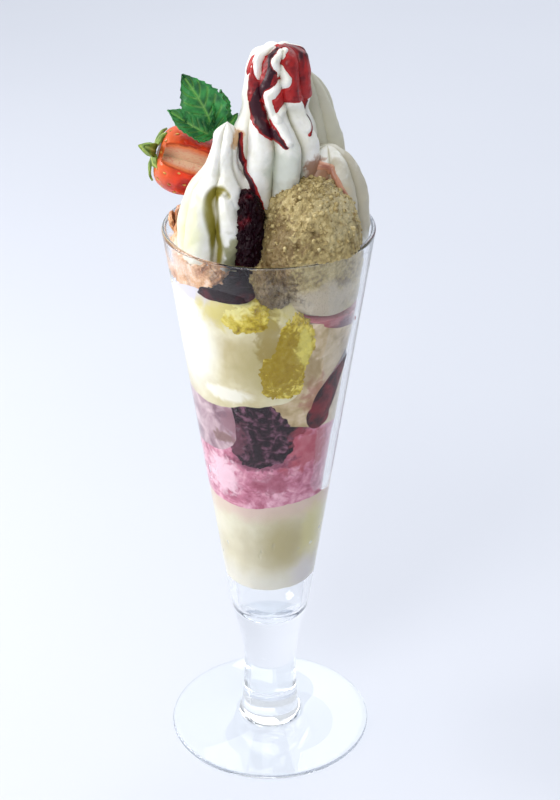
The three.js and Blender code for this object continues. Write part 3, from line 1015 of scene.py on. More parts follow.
class Finishes:
    """Every finish on the sundae."""

    GLASS = ClearGlass()
    CREAM = SoftFood(
        "whipped cream", paint(247, 247, 244), paint(242, 241, 234), paint(232, 231, 218),
        broad=10, fine=2.0, grain=0.8, depth=0.1, roughness=0.42, shine=0.5, glow=0.1,
        # The groove colour is painted shade, laid in the grooves and creases of the piping.
        glow_colour=(1.0, 0.85, 0.6), hollow=paint(140, 130, 48), seed=1, stains_and_painted_light=(
            StainAndPaintedLight(paint(228, 228, 184), (-31, -20, 230), (9, 14, 17), 0.85, 9, 0.5, 0.4),
            # Partly a syrup stain, partly painted shade: olive on the rosette's lower right.
            StainAndPaintedLight(paint(132, 130, 74), (-10, -22, 219), (6, 12, 9), 0.85, 5, 0.7),
            # Painted shade, grey beige, over the back lobes.
            StainAndPaintedLight(paint(198, 194, 170), (19, 18, 250), (16, 18, 34), 0.85, 12, 0.5),
            # Painted shade on the right lobe, the side away from the light.
            StainAndPaintedLight(paint(184, 175, 150), (26, 0, 230), (14, 18, 20), 0.85, 8, 0.6),
            # Painted shade, grey blue, on the front of the peak right of the white ridge.
            StainAndPaintedLight(paint(196, 204, 192), (5, -12, 246), (8, 10, 9), 0.6, 5, 0.7),
            StainAndPaintedLight(paint(206, 150, 70), (-10.5, -10, 256), (2.6, 6, 4), 0.8, 3, 0.7),
            StainAndPaintedLight(paint(150, 96, 60), (17, -9, 243), (5, 8, 6), 0.85, 3, 0.7),
            StainAndPaintedLight(paint(214, 190, 150), (20, -10, 232), (9, 9, 8), 0.6, 5, 0.7),
        ),
    )
    COFFEE = SoftFood(
        "coffee ice cream", paint(214, 196, 144), paint(176, 156, 104), paint(104, 82, 44),
        broad=9, fine=1.5, speckle=0.5, grain=0.7, depth=0.45, roughness=0.5, shine=0.4, glow=0.08,
        glow_colour=(1.0, 0.8, 0.5), seed=2, stains_and_painted_light=(
            StainAndPaintedLight(paint(200, 186, 164), (20, -32, 202), (19, 16, 9), 0.9, 7, 0.5, 0.35),
            StainAndPaintedLight(paint(100, 76, 44), (0, -30, 208), (9, 12, 12), 0.6, 2.2, 1.8),
            StainAndPaintedLight(paint(104, 82, 54), (-1, -30, 203), (6, 12, 8), 0.45, 2.2, 1.5),
            StainAndPaintedLight(paint(96, 70, 34), (2, -30, 224), (8, 12, 15), 0.65, 2.2, 1.8),
            StainAndPaintedLight(paint(214, 202, 160), (22, -18, 230), (11, 14, 11), 0.5, 6, 0.8),
        ),
    )
    CRUMBS = SoftFood(
        "ice cream crumbs", paint(222, 206, 156), paint(180, 160, 106), paint(112, 88, 50),
        broad=2.5, fine=1.0, grain=0.6, depth=0.2, roughness=0.5, shine=0.4, seed=12,
    )
    VANILLA = SoftFood(
        "vanilla ice cream", paint(240, 232, 202), paint(218, 206, 166), paint(196, 180, 132),
        broad=17, fine=3.0, speckle=0.15, grain=1.1, depth=0.06,
        roughness=0.4, glow=0.08, glow_colour=(1.0, 0.8, 0.4), seed=3,
        stains_and_painted_light=(
            # Painted light on the left side of the scoop, where the light falls.
            StainAndPaintedLight(paint(253, 251, 240), (-29, -18, 184), (12, 18, 26), 0.95, 14, 0.3, 0.5),
            # Painted shade, lavender grey, under the flakes at the top left.
            StainAndPaintedLight(paint(214, 208, 220), (-25, -20, 205), (12, 16, 4.5), 0.9, 4, 0.6),
            # Painted shade on the front of the scoop, away from the light.
            StainAndPaintedLight(paint(186, 172, 120), (0, -32, 178), (13, 14, 13), 0.8, 8, 0.4, 0.45),
            StainAndPaintedLight(paint(216, 200, 108), (-10, -30, 201), (17, 14, 8), 0.75, 5, 0.7, 0.35),
            StainAndPaintedLight(paint(150, 126, 48), (0, -34, 190), (5, 10, 14), 0.7, 4, 0.9),
            StainAndPaintedLight(paint(250, 245, 230), (-17, -26, 165), (12, 10, 3.5), 0.85, 5, 0.5),
            StainAndPaintedLight(paint(216, 210, 190), (0, 0, 98), (60, 60, 30), 0.55, 20, 0.2, 0.3),
            StainAndPaintedLight(paint(222, 190, 180), (0, 0, 114), (40, 40, 7), 0.8, 9, 0.5, 0.5),
            StainAndPaintedLight(paint(178, 164, 116), (6, -20, 95), (11, 12, 15), 0.85, 12, 0.35, 0.6),
            StainAndPaintedLight(paint(214, 204, 134), (16, -13, 98), (5, 9, 16), 0.6, 6, 0.5, 0.5),
            StainAndPaintedLight(paint(226, 222, 212), (0, 0, 74), (40, 40, 9), 0.7, 9, 0.4, 0.6),
            StainAndPaintedLight(paint(214, 206, 210), (14, -12, 80), (7, 9, 8), 0.6, 6, 0.5, 0.5),
        ),
    )
    PALE = SoftFood(
        "pale ice cream", paint(226, 206, 176), paint(196, 172, 132), paint(154, 128, 84),
        broad=9, fine=2.6, speckle=0.25, grain=1.1, depth=0.08, roughness=0.4, seed=4,
        stains_and_painted_light=(
            StainAndPaintedLight(paint(160, 84, 76), (21, -24, 163), (10, 12, 9), 0.6, 4, 0.8),
            StainAndPaintedLight(paint(236, 214, 204), (16, -28, 199), (18, 12, 4), 0.8, 4, 0.6),
            StainAndPaintedLight(paint(146, 120, 70), (14, -28, 176), (5, 9, 9), 0.6, 4, 0.8),
        ),
    )
    MANGO = SoftFood(
        "mango compote", paint(240, 224, 120), paint(206, 182, 62), paint(140, 112, 26),
        broad=5, fine=1.4, speckle=0.35, swirl=1.4, grain=1.0, depth=0.25, roughness=0.3,
        glow=0.1, glow_colour=(1.0, 0.7, 0.1), seed=5, stains_and_painted_light=(
            StainAndPaintedLight(paint(242, 232, 160), (-15, -30, 203), (10, 12, 5), 0.75, 3, 0.9),
            StainAndPaintedLight(paint(152, 124, 20), (4, -32, 180), (11, 12, 18), 0.8, 2.4, 1.4),
            # Painted highlight: a narrow bright yellow streak down the compote's right.
            StainAndPaintedLight(paint(222, 208, 104), (12.5, -31, 186), (2.6, 8, 9), 0.8, 3, 0.8),
        ),
    )
    SORBET = SoftFood(
        "berry sorbet", paint(240, 186, 202), paint(206, 130, 152), paint(168, 84, 108),
        broad=7, fine=2.0, speckle=0.3, swirl=1.3, grain=0.9, depth=0.25, roughness=0.5,
        glow=0.08, glow_colour=(1.0, 0.4, 0.4), seed=6, stains_and_painted_light=(
            StainAndPaintedLight(paint(178, 72, 84), (14, -24, 140), (12, 14, 10), 0.8, 4, 0.9),
            StainAndPaintedLight(paint(112, 50, 74), (-3, -26, 136), (13, 12, 4), 0.75, 3, 1.1),
            StainAndPaintedLight(paint(250, 216, 226), (-17, -18, 126), (7, 12, 9), 0.75, 4, 0.8),
            StainAndPaintedLight(paint(158, 76, 96), (1, -25, 126), (8, 12, 6), 0.6, 3, 1.0),
        ),
    )
    BERRY_CREAM = SoftFood(
        "berry cream", paint(214, 188, 192), paint(176, 144, 152), paint(132, 98, 110),
        broad=9, fine=2.6, speckle=0.15, swirl=1.0, grain=1.0, depth=0.08, roughness=0.4, seed=7,
        stains_and_painted_light=(
            StainAndPaintedLight(paint(120, 82, 70), (-17, -22, 145), (5, 8, 3), 0.7, 3, 0.9),
            StainAndPaintedLight(paint(150, 108, 118), (-13, -26, 152), (5, 9, 9), 0.75, 4, 0.8),
        ),
    )
    BERRIES = SoftFood(
        # The light tone, in streaks over the dark fruit, is painted highlight.
        "dark berries", paint(140, 90, 112), paint(38, 11, 24), paint(14, 3, 9),
        broad=6, fine=2.4, speckle=0.4, swirl=1.6, grain=1.2, depth=0.3, roughness=0.35,
        seed=8, stains_and_painted_light=(
            StainAndPaintedLight(paint(150, 60, 72), (13, -23, 147), (6, 10, 6), 0.85, 3, 0.9),
            StainAndPaintedLight(paint(120, 66, 82), (-12, -24, 146), (4, 9, 9), 0.6, 3, 1.0),
        ),
    )
    RIPPLE = SoftFood(
        "berry ripple", paint(196, 128, 132), paint(160, 84, 88), paint(122, 50, 58),
        broad=8, fine=2.0, stretch=(0.4, 0.4, 1.6), grain=1.2, depth=0.1, roughness=0.3, seed=9,
        stains_and_painted_light=(StainAndPaintedLight(paint(86, 34, 62), (27, -20, 190), (5, 8, 4), 0.8, 3, 0.7),),
    )
    SAUCE = Sauce(
        "berry sauce", thin=paint(176, 34, 34), thick=paint(52, 6, 24), roughness=0.38, shine=0.3,
        coat=0.12,
    )
    THIN_SAUCE = Sauce("thin berry sauce", thin=paint(206, 150, 120), thick=paint(142, 78, 58), seed=2)
    WET_SAUCE = Sauce(
        "berry sauce on the glass", thin=paint(132, 26, 38), thick=paint(26, 3, 12), depth=0.25,
        shine=0.12, coat=0.0, seed=4,
    )
    FRUIT = BerryFruit()
    CALYX = LeafGreen("calyx leaf", paint(126, 150, 52), paint(74, 104, 34), paint(190, 200, 110), 0.5)
    MINT = LeafGreen("mint leaf", paint(52, 140, 66), paint(14, 84, 42), paint(150, 200, 110))
    FLAKES = Toasted()
    SEEDS = SeedCoat()
    FLOOR = PaleFloor()


# ---------------------------------------------------------------- forms


class Texture(Enum):
    """How the surface of a food breaks up."""

    SOFT = "soft"
    CRUMBLY = "crumbly"
    LUMPY = "lumpy"


@dataclass(frozen=True)
class Relief:
    """Relief on a food's surface, in millimetres."""

    texture: Texture = Texture.SOFT
    size: float = 6.0
    depth: float = 0.5
    seed: int = 1

    def at(self, points: Array) -> Array:
        """How far the surface stands out at points.

        Args:
            points: Places on the plain surface, in millimetres.

        Returns:
            A distance for each point, some of them negative.
        """
        noise = Noise(self.seed)
        cloud = noise.layered(points / self.size, 4, 0.55)
        if self.texture is Texture.SOFT:
            return self.depth * cloud
        crumbs = noise.pebbles(points / (0.42 * self.size) + 3.1 * cloud[:, None])
        if self.texture is Texture.LUMPY:
            return self.depth * (1.1 * crumbs - 0.6 + 0.3 * cloud)
        pits = np.clip(noise.layered(points / (0.55 * self.size) + 9.0, 3, 0.6) - 0.18, 0.0, 1.0)
        return self.depth * (0.55 * cloud + 0.55 * crumbs - 0.3 - 2.2 * pits)


@dataclass(frozen=True)
class Spoonful:
    """A scoop or spoonful: a ball pressed towards a rounded block, with knobs and relief."""

    centre: Spot
    radii: Spot
    tilt: float = 0.0
    square: float = 2.0
    rough: float = 0.04
    seed: float = 1.0
    relief: Relief = Relief()
    columns: int = 150
    rows: int = 96

    def solid(self) -> Solid:
        """The spoonful as a closed solid."""
        rings = Rings.fine(self.columns, self.rows)
        direction = rings.ball()
        power = (np.abs(direction) ** self.square).sum(1)
        reach = power ** (-1 / self.square) * (1 + self.rough * knobs(direction, self.seed))
        points = direction * np.asarray(self.radii) * reach[:, None]
        angle = math.radians(self.tilt)
        turn = np.array([
            [math.cos(angle), 0, -math.sin(angle)], [0, 1, 0], [math.sin(angle), 0, math.cos(angle)],
        ])
        points = points @ turn.T + np.asarray(self.centre)
        points = points + direction * self.relief.at(points)[:, None]
        return Solid(points, rings.faces(rings.rows - 1))


@dataclass(frozen=True)
class Thread:
    """A thick thread of sauce or stalk."""

    knots: tuple[Spot, ...]
    girth: Spot  # from its start to its end
    relief: Relief = Relief(depth=0.2, size=4)
    columns: int = 36
    rows: int = 90

    def solid(self) -> Solid:
        """The thread as a closed solid."""
        rings = Rings.fine(self.columns, self.rows)
        azimuth, climb = rings.places()
        path = Path(list(self.knots))
        along = path.heading(climb)
        side = unit(np.cross([0.0, 0.0, 1.0], along))
        up = np.cross(along, side)
        wide = np.interp(climb, np.linspace(0, 1, len(self.girth)), self.girth)
        outward = side * np.cos(azimuth)[:, None] + up * np.sin(azimuth)[:, None]
        width = wide * np.sin(math.pi * climb) ** 0.6
        points = path.at(climb) + outward * width[:, None]
        points += outward * (self.relief.at(points) * np.sin(math.pi * climb))[:, None]
        return Solid(points, rings.faces(rings.rows - 1))


@dataclass(frozen=True)
class Run:
    """A run along a swirl of cream: a spilling of sauce, a bead or a crease."""

    spots: tuple[tuple[float, float], ...]  # azimuth in degrees and climb
    widths: Spot  # half its width along its length, in millimetres
    strength: float = 1.0  # how dark the sauce is, or how far a bead stands out; a crease, below 0, is sunk in and darkened with painted shade


@dataclass(frozen=True)
class Flood:
    """A thin sheet of sauce over the upper part of a swirl."""

    middle: float  # azimuth in degrees
    reach: float  # how far it goes to each side, in degrees
    low: float  # the climbs that it lies between
    high: float = 0.982
    most: float = 0.55  # its cover away from its edges
    strength: float = 0.45  # how dark it is

    def cover(self, azimuth: Array, climb: Array) -> Array:
        """How far inside it places are, below 0 outside it.

        Args:
            azimuth: Directions round the swirl in radians.
            climb: How far up its profile, from 0 to 1.

        Returns:
            One number for each place.
        """
        away = (azimuth - math.radians(self.middle) + math.pi) % (2 * math.pi) - math.pi
        aside = (self.reach - np.degrees(np.abs(away))) / 12
        above, below = (climb - self.low) / 0.02, (self.high - climb) / 0.01
        return np.minimum(np.minimum(aside, self.most), np.minimum(above, below))


@dataclass(frozen=True)
class Swirl:
    """Cream piped through a star nozzle, with ridges that twist and sway as they climb."""

    centre: Spot
    profile: tuple[Spot, ...]  # radius and height from its foot to its tip
    ridges: int
    depth: float
    twist: float
    lean: Spot
    turn: float
    sway: float = 0.0
    beads: tuple[Run, ...] = ()
    tint: float = 0.55  # how strongly painted shade darkens its grooves
    flood: Flood | None = None
    columns: int = 240
    rows: int = 140
    roundness: float = 0.7
    seed: int = 3
    sways = 1.5
    base_depth = 0.3
    base_rise = 0.4

    def ridge(self, azimuth: Array, rise: Array) -> Array:
        """How near the top of a ridge a place is, from 0 in a groove to 1."""
        swing = self.sway * np.sin(self.sways * 2 * math.pi * rise) * rise
        phase = (self.ridges * azimuth + self.turn) / 2 + math.pi * (self.twist * rise + swing)
        return np.abs(np.cos(phase)) ** self.roundness

    def piped(self, azimuth: Array, climb: Array, fill: Array | float = 0.0) -> Array:
        """Points on the ridges and grooves of the nozzle.

        Args:
            azimuth: Directions round its axis in radians.
            climb: How far up its profile, from 0 to 1.
            fill: How much of the grooves is filled, from 0 to 1.

        Returns:
            One point for each place.
        """
        at = along_spline(np.asarray(self.profile, float), climb)
        foot, tip = self.profile[0][1], self.profile[-1][1]
        rise = (at[:, 1] - foot) / (tip - foot)
        carved = self.depth * (1 - fill) * np.minimum(1, self.base_depth + rise / self.base_rise)
        radius = np.maximum(at[:, 0], 0) * (1 - carved * (1 - self.ridge(azimuth, rise)))
        return np.stack([
            self.centre[0] + self.lean[0] * rise + radius * np.cos(azimuth),
            self.centre[1] + self.lean[1] * rise + radius * np.sin(azimuth),
            at[:, 1],
        ], -1)

    def nearness(self, run: Run, points: Array) -> Array:
        """How near a run points are: 1 on its middle line and 0 at its edges."""
        steps = np.linspace(0, 1, 60)
        spots = along_spline(np.asarray(run.spots, float), steps)
        middle = self.piped(np.radians(spots[:, 0]), spots[:, 1])
        width = np.interp(steps, np.linspace(0, 1, len(run.widths)), run.widths)
        nearest = np.full(len(points), -9.0)
        for spot, half in zip(middle, width):
            nearest = np.maximum(nearest, 1 - np.linalg.norm(points - spot, axis=1) / half)
        return nearest

    def outward(self, points: Array) -> Array:
        """Which way is out at points."""
        axis = (self.centre[0] + self.lean[0] * 0.5, self.centre[1] + self.lean[1] * 0.5)
        return unit(points - np.stack([
            np.full(len(points), axis[0]), np.full(len(points), axis[1]), points[:, 2] - 4,
        ], -1))

    def surface(self, azimuth: Array, climb: Array, fill: Array | float = 0.0) -> Array:
        """Points on the cream, with its beads, creases and unevenness.

        Args:
            azimuth: Directions round its axis in radians.
            climb: How far up its profile, from 0 to 1.
            fill: How much of the grooves is filled, from 0 to 1.

        Returns:
            One point for each place.
        """
        points = self.piped(azimuth, climb, fill)
        lift = np.zeros(len(points))
        for bead in self.beads:
            near = np.clip(self.nearness(bead, points), 0, 1)
            lift += bead.strength * near ** 0.6
        return points + self.outward(points) * lift[:, None] + self.unevenness(points)

    def solid(self) -> Solid:
        """The cream as a closed solid, with the soft unevenness of piping."""
        rings = Rings.fine(self.columns, self.rows)
        azimuth, climb = rings.places()
        return Solid(self.surface(azimuth, climb), rings.faces(rings.rows - 1))

    def unevenness(self, points: Array) -> Array:
        """Small shifts of the surface, broad and fine."""
        noise = Noise(self.seed)
        broad = np.stack([noise.layered(points / 9 + k * 31.7, 2) for k in range(3)], -1)
        fine = np.stack([noise.at(points / 2.3 + k * 11.3) for k in range(3)], -1)
        return 0.7 * broad + 0.12 * fine

    def hollow(self, points: Array) -> Array:
        """How much painted shade points get, from 0 to 1: most deep in a groove or a crease, none on a
        bead.
        """
        foot, tip = self.profile[0][1], self.profile[-1][1]
        rise = np.clip((points[:, 2] - foot) / (tip - foot), 0, 1)
        x = points[:, 0] - self.centre[0] - self.lean[0] * rise
        y = points[:, 1] - self.centre[1] - self.lean[1] * rise
        painted_shade = smooth_step(1 - self.ridge(np.arctan2(y, x), rise), 0.3, 1.0)
        painted_shade = painted_shade * self.tint
        for bead in self.beads:
            crease = bead.strength < 0
            near = np.clip((1.7 if crease else 1.3) * self.nearness(bead, points) + 0.5 * crease, 0, 1)
            painted_shade = np.maximum(painted_shade, near) if crease else painted_shade * (1 - near)
        return painted_shade

    def sauce(self, pours: tuple[Run, ...]) -> tuple[Solid, Array]:
        """Sauce poured over the cream.

        Args:
            pours: The runs of sauce.

        Returns:
            The sauce as one closed sheet for each patch, and how thick it is at each point.
        """
        rings = Rings.fine(2 * self.columns, 2 * self.rows)
        azimuth, climb = rings.places()
        plain = self.piped(azimuth, climb)
        noise = Noise(self.seed + 40)
        ragged = 0.42 * noise.layered(plain / 4.5, 3, 0.6)
        cover = np.full(len(plain), -1.0)
        body = np.zeros(len(plain))
        for pour in pours:
            own = self.nearness(pour, plain)
            body = np.where(own > cover, pour.strength, body)
            cover = np.maximum(cover, own)
        if self.flood:
            flood = self.flood.cover(azimuth, climb)
            for bead in self.beads:
                flood = np.minimum(flood, 0.15 - 1.2 * self.nearness(bead, plain))
            body = np.where(flood > cover, self.flood.strength, body)
            cover = np.maximum(cover, flood)
        for bead in self.beads:
            cover = np.minimum(cover, 0.3 - 1.3 * self.nearness(bead, plain))
        cover = cover + ragged * (cover > -0.9)
        height = np.clip(cover, 0, 1) ** 0.5
        lifted = self.surface(azimuth, climb, 0.35 * np.clip(2 * cover, 0, 1))
        outward = self.outward(plain)
        top = lifted + outward * (0.9 * height - 0.25)[:, None]
        bottom = self.surface(azimuth, climb) - outward * 0.8
        quads = rings.quads(rings.rows - 1)
        kept = quads[(cover[quads] > -0.12).all(1)]
        used = np.unique(kept)
        return shell(top, bottom, kept), np.tile(np.clip(1.4 * cover[used], 0, 1) * body[used], 2)


@dataclass(frozen=True)
class Leaf:
    """A leaf or flake: a thin sheet along a spine, whose veins and teeth its fields set."""

    spine: tuple[Spot, ...]
    normal: Spot
    half: float  # half its greatest width
    length_power: float = 1.0
    ends: Spot = (0.0, 1.0)  # where on a rounded outline it starts and ends
    least: float = 0.25
    thickness: float = 0.6
    cup: float = 0.0
    wave: float = 0.0
    teeth: int = 0
    veins: int = 0
    crumple: float = 0.0
    seed: int = 1
    rows: int = 60
    columns: int = 26

    def solid(self) -> tuple[Solid, Array]:
        """The leaf, and how near a vein each point is."""
        rows, columns = max(8, round(self.rows * DETAIL)), max(6, round(self.columns * DETAIL))
        share, across = (grid.ravel() for grid in np.meshgrid(
            np.linspace(0, 1, rows + 1), np.linspace(-1, 1, columns + 1), indexing="ij"
        ))
        path = Path(list(self.spine))
        along = path.heading(share)
        face = unit(np.asarray(self.normal, float))
        up = unit(face - along * (along @ face)[:, None])
        side = np.cross(up, along)
        start, end = self.ends
        outline = np.sin(math.pi * (start + (end - start) * share ** self.length_power))
        width = self.half * np.maximum(outline, 0) + self.least
        if self.teeth:
            tooth = np.abs(((share * self.teeth) % 1) - 0.7) * 2 - 0.5
            width = width * (1 + 0.09 * tooth * (np.abs(across) > 0.85))
        lift = self.cup * width * across ** 2
        lift += self.wave * across ** 2 * np.sin(4 * math.pi * share + 2 * across)
        vein = np.exp(-((across * width / 0.4) ** 2)) * (share < 0.93)
        if self.veins:
            slant = (share - 0.28 * np.abs(across)) * self.veins
            side_vein = np.exp(-((((slant + 0.5) % 1) - 0.5) / 0.11) ** 2)
            vein = np.maximum(vein, 0.7 * side_vein * (np.abs(across) < 0.85))
            lift += 0.45 * (1 - side_vein) * np.sin(math.pi * np.minimum(np.abs(across) * 1.1, 1))
        lift -= 0.35 * vein * bool(self.veins)
        middle = path.at(share) + side * (width * across)[:, None]
        if self.crumple:
            lift = lift + self.crumple * Noise(self.seed).layered(middle / 2.6, 3, 0.6)
        top = middle + up * (lift + self.thickness / 2)[:, None]
        bottom = middle + up * (lift - self.thickness / 2)[:, None]
        return shell(top, bottom, sheet_quads(rows, columns)), np.tile(vein, 2)


# ---------------------------------------------------------------- pieces


def place(name: str, solid: Solid, finish: Finish, slot: str, nodes: tuple[str, ...] = (),
          marks: dict[str, Array] | None = None, crease: float = 55.0) -> bpy.types.Object:
    """Puts a finished piece in the scene.

    Args:
        name: The piece's name.
        solid: Its form.
        finish: What it is made of.
        slot: The record's material slot of its finish. Not used.
        nodes: The frame's nodes that it stands for.
        marks: Numbers stored on its points, by name.
        crease: Edges sharper than this many degrees stay sharp.

    Returns:
        The new object.
    """
    mesh = solid.mesh(name)
    mesh.shade_smooth()
    mesh.set_sharp_from_angle(angle=math.radians(crease))
    mesh.materials.append(finish.material())
    for key, values in (marks or {}).items():
        mesh.attributes.new(key, "FLOAT", "POINT").data.foreach_set("value", values.astype(np.float32))
    piece = bpy.data.objects.new(name, mesh)
    bpy.context.scene.collection.objects.link(piece)
    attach(piece, "root")
    if nodes:
        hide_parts(*nodes)
    log.info("%s: %d faces", name, len(mesh.polygons))
    return piece


@dataclass(frozen=True)
class Glass:
    """The tall footed glass, turned from one outline."""

    foot_radius: float = 40.0
    foot_edge: float = 1.8
    foot_crown: float = 5.2
    stem_base: float = 11.4
    stem_waist: float = 10.3
    waist_height: float = 27.0
    shoulder: float = 38.0
    bowl_radius: float = 15.8
    bowl_height: float = 62.0
    rim_radius: float = 38.2
    rim_height: float = 220.0
    rim_wall: float = 1.7
    cavity_radius: float = 12.7
    cavity_depth: float = 9.5
    overlap: float = 0.12  # how far the food reaches into the wall, so that no air lies between
    columns: int = 220

    def inner(self, height: Array | float) -> Array | float:
        """The inner radius of the bowl at a height."""
        widening = self.rim_radius - self.rim_wall - self.cavity_radius
        slope = widening / (self.rim_height - self.bowl_height)
        return self.cavity_radius + slope * (height - self.bowl_height)

    @staticmethod
    def _arc(middle: Spot, radii: Spot, start: float, end: float, steps: int = 12) -> list[Spot]:
        """Points on an arc of an ellipse, by angles in degrees."""
        angles = np.radians(np.linspace(start, end, steps + 1))
        return [
            (middle[0] + radii[0] * math.cos(a), middle[1] + radii[1] * math.sin(a)) for a in angles
        ]

    @staticmethod
    def _bend(start: Spot, pull: Spot, end: Spot, steps: int = 10) -> list[Spot]:
        """Points on a bend from start to end that leans towards pull."""
        shares = np.linspace(0, 1, steps + 1)[1:]
        a, b, c = (np.asarray(spot, float) for spot in (start, pull, end))
        return [tuple((1 - t) ** 2 * a + 2 * t * (1 - t) * b + t * t * c) for t in shares]

    def outline(self) -> Array:
        """Radius and height along the underside, up the outside and down the inside."""
        edge, crown, waist = self.foot_edge, self.foot_crown, self.stem_waist
        half = self.rim_wall / 2
        points: list[Spot] = [(0.0, 0.0)]
        points += [(self.foot_radius * share, 0.0) for share in (0.25, 0.5, 0.75, 0.92)]
        points += self._arc((self.foot_radius - edge / 2, edge / 2), (edge / 2, edge / 2), -90, 90)
        for pull, end in (
            ((self.foot_radius * 0.55, edge + 1.2), (self.stem_base + 3, crown)),
            ((self.stem_base + 0.3, crown + 0.9), (self.stem_base, crown + 4.5)),
            ((waist + 0.3, crown + 12), (waist, self.waist_height)),
            ((waist, self.shoulder - 4), (waist + 0.7, self.shoulder)),
            ((waist + 1.5, self.shoulder + 6),
             ((waist + self.bowl_radius) / 2, (self.shoulder + self.bowl_height) / 2)),
            ((self.bowl_radius - 1.5, self.bowl_height - 7), (self.bowl_radius, self.bowl_height)),
        ):
            points += self._bend(points[-1], pull, end)
        top = self.rim_height - half
        points += self._bend(points[-1], points[-1], (self.rim_radius - 0.05, top - 0.4), 24)
        points += self._arc((self.rim_radius - half, top), (half, half), 0, 180)
        inner_foot = (self.cavity_radius, self.bowl_height)
        points += self._bend(points[-1], points[-1], inner_foot, 24)
        points += self._arc((0, self.bowl_height), (self.cavity_radius, self.cavity_depth), 0, -90, 20)[1:]
        points[-1] = (0.0, points[-1][1])
        return np.asarray(points)

    def room(self, airy_share: float) -> Solid:
        """The space that food may take: just into the wall where it is wet, and open above the rim.

        Args:
            airy_share: How deep the airy hollows at the right are, as a share of their full depth.

        Returns:
            The space as a closed solid.
        """
        columns, rows = round(340 * DETAIL), round(230 * DETAIL)
        brim = self.rim_height + 0.3
        heights = np.linspace(self.bowl_height, brim, rows)
        wall = np.stack([self.inner(heights), heights], -1)
        open_air = 2 * self.rim_radius
        outline = np.vstack([
            [[0, self.bowl_height]], wall,
            [[open_air, brim], [open_air, 2 * self.rim_height], [0, 2 * self.rim_height]],
        ])
        azimuth = np.linspace(-math.pi, math.pi, columns, endpoint=False)
        around, height = np.meshgrid(azimuth, heights)
        points = round_axis(np.full(around.shape, 36.0), around, height).reshape(-1, 3)
        noise = Noise(11)
        cloud = noise.layered(points / (13, 13, 17), 3, 0.5).reshape(height.shape)
        airy = smooth_step(np.cos(around - math.radians(14)), 0.35, 0.9)
        airy = airy * smooth_step(height, 112, 126)
        small = smooth_step(noise.layered(points / 5 + 40, 2).reshape(height.shape), 0.3, 0.6)
        gap = airy * (0.55 + 0.9 * cloud) + 0.35 * small * smooth_step(cloud, 0.1, 0.5)
        relief = np.zeros((len(outline) - 2, columns))
        relief[: len(heights)] = self.overlap - airy_share * np.clip(gap, 0, 1.1)
        relief[len(heights) - 1] = self.overlap
        return Rings(columns, 0).turned(outline, relief)

    def build(self) -> None:
        """Builds the glass."""
        rings = Rings(round(self.columns * DETAIL), 0)
        place("sundae_glass", rings.turned(self.outline()), Finishes.GLASS, "clear_glass", ("glass",),
              crease=40)


@dataclass
class Table:
    """What all foods share while they are fitted in."""

    glass: Glass
    cutter: Cutter = field(default_factory=Cutter)

    def __post_init__(self) -> None:
        """Makes the space for the food."""
        self.room = self.cutter.tool(self.glass.room(1.0))
        self.wet_room = self.cutter.tool(self.glass.room(0.0))

    def fit(self, solid: Solid, wet: bool = False) -> Solid:
        """Fits a solid into the glass beside the others.

        Args:
            solid: What to fit in.
            wet: Whether it clings to the wall all over.

        Returns:
            The solid cut to its place.
        """
        radius = np.hypot(solid.points[:, 0], solid.points[:, 1])
        low = solid.points[:, 2] < self.glass.rim_height + 1
        near = radius > self.glass.inner(solid.points[:, 2]) - 1.5
        touches = bool((low & near).any())
        room = self.wet_room if wet else self.room
        return self.cutter.fit(solid, room if touches else None)


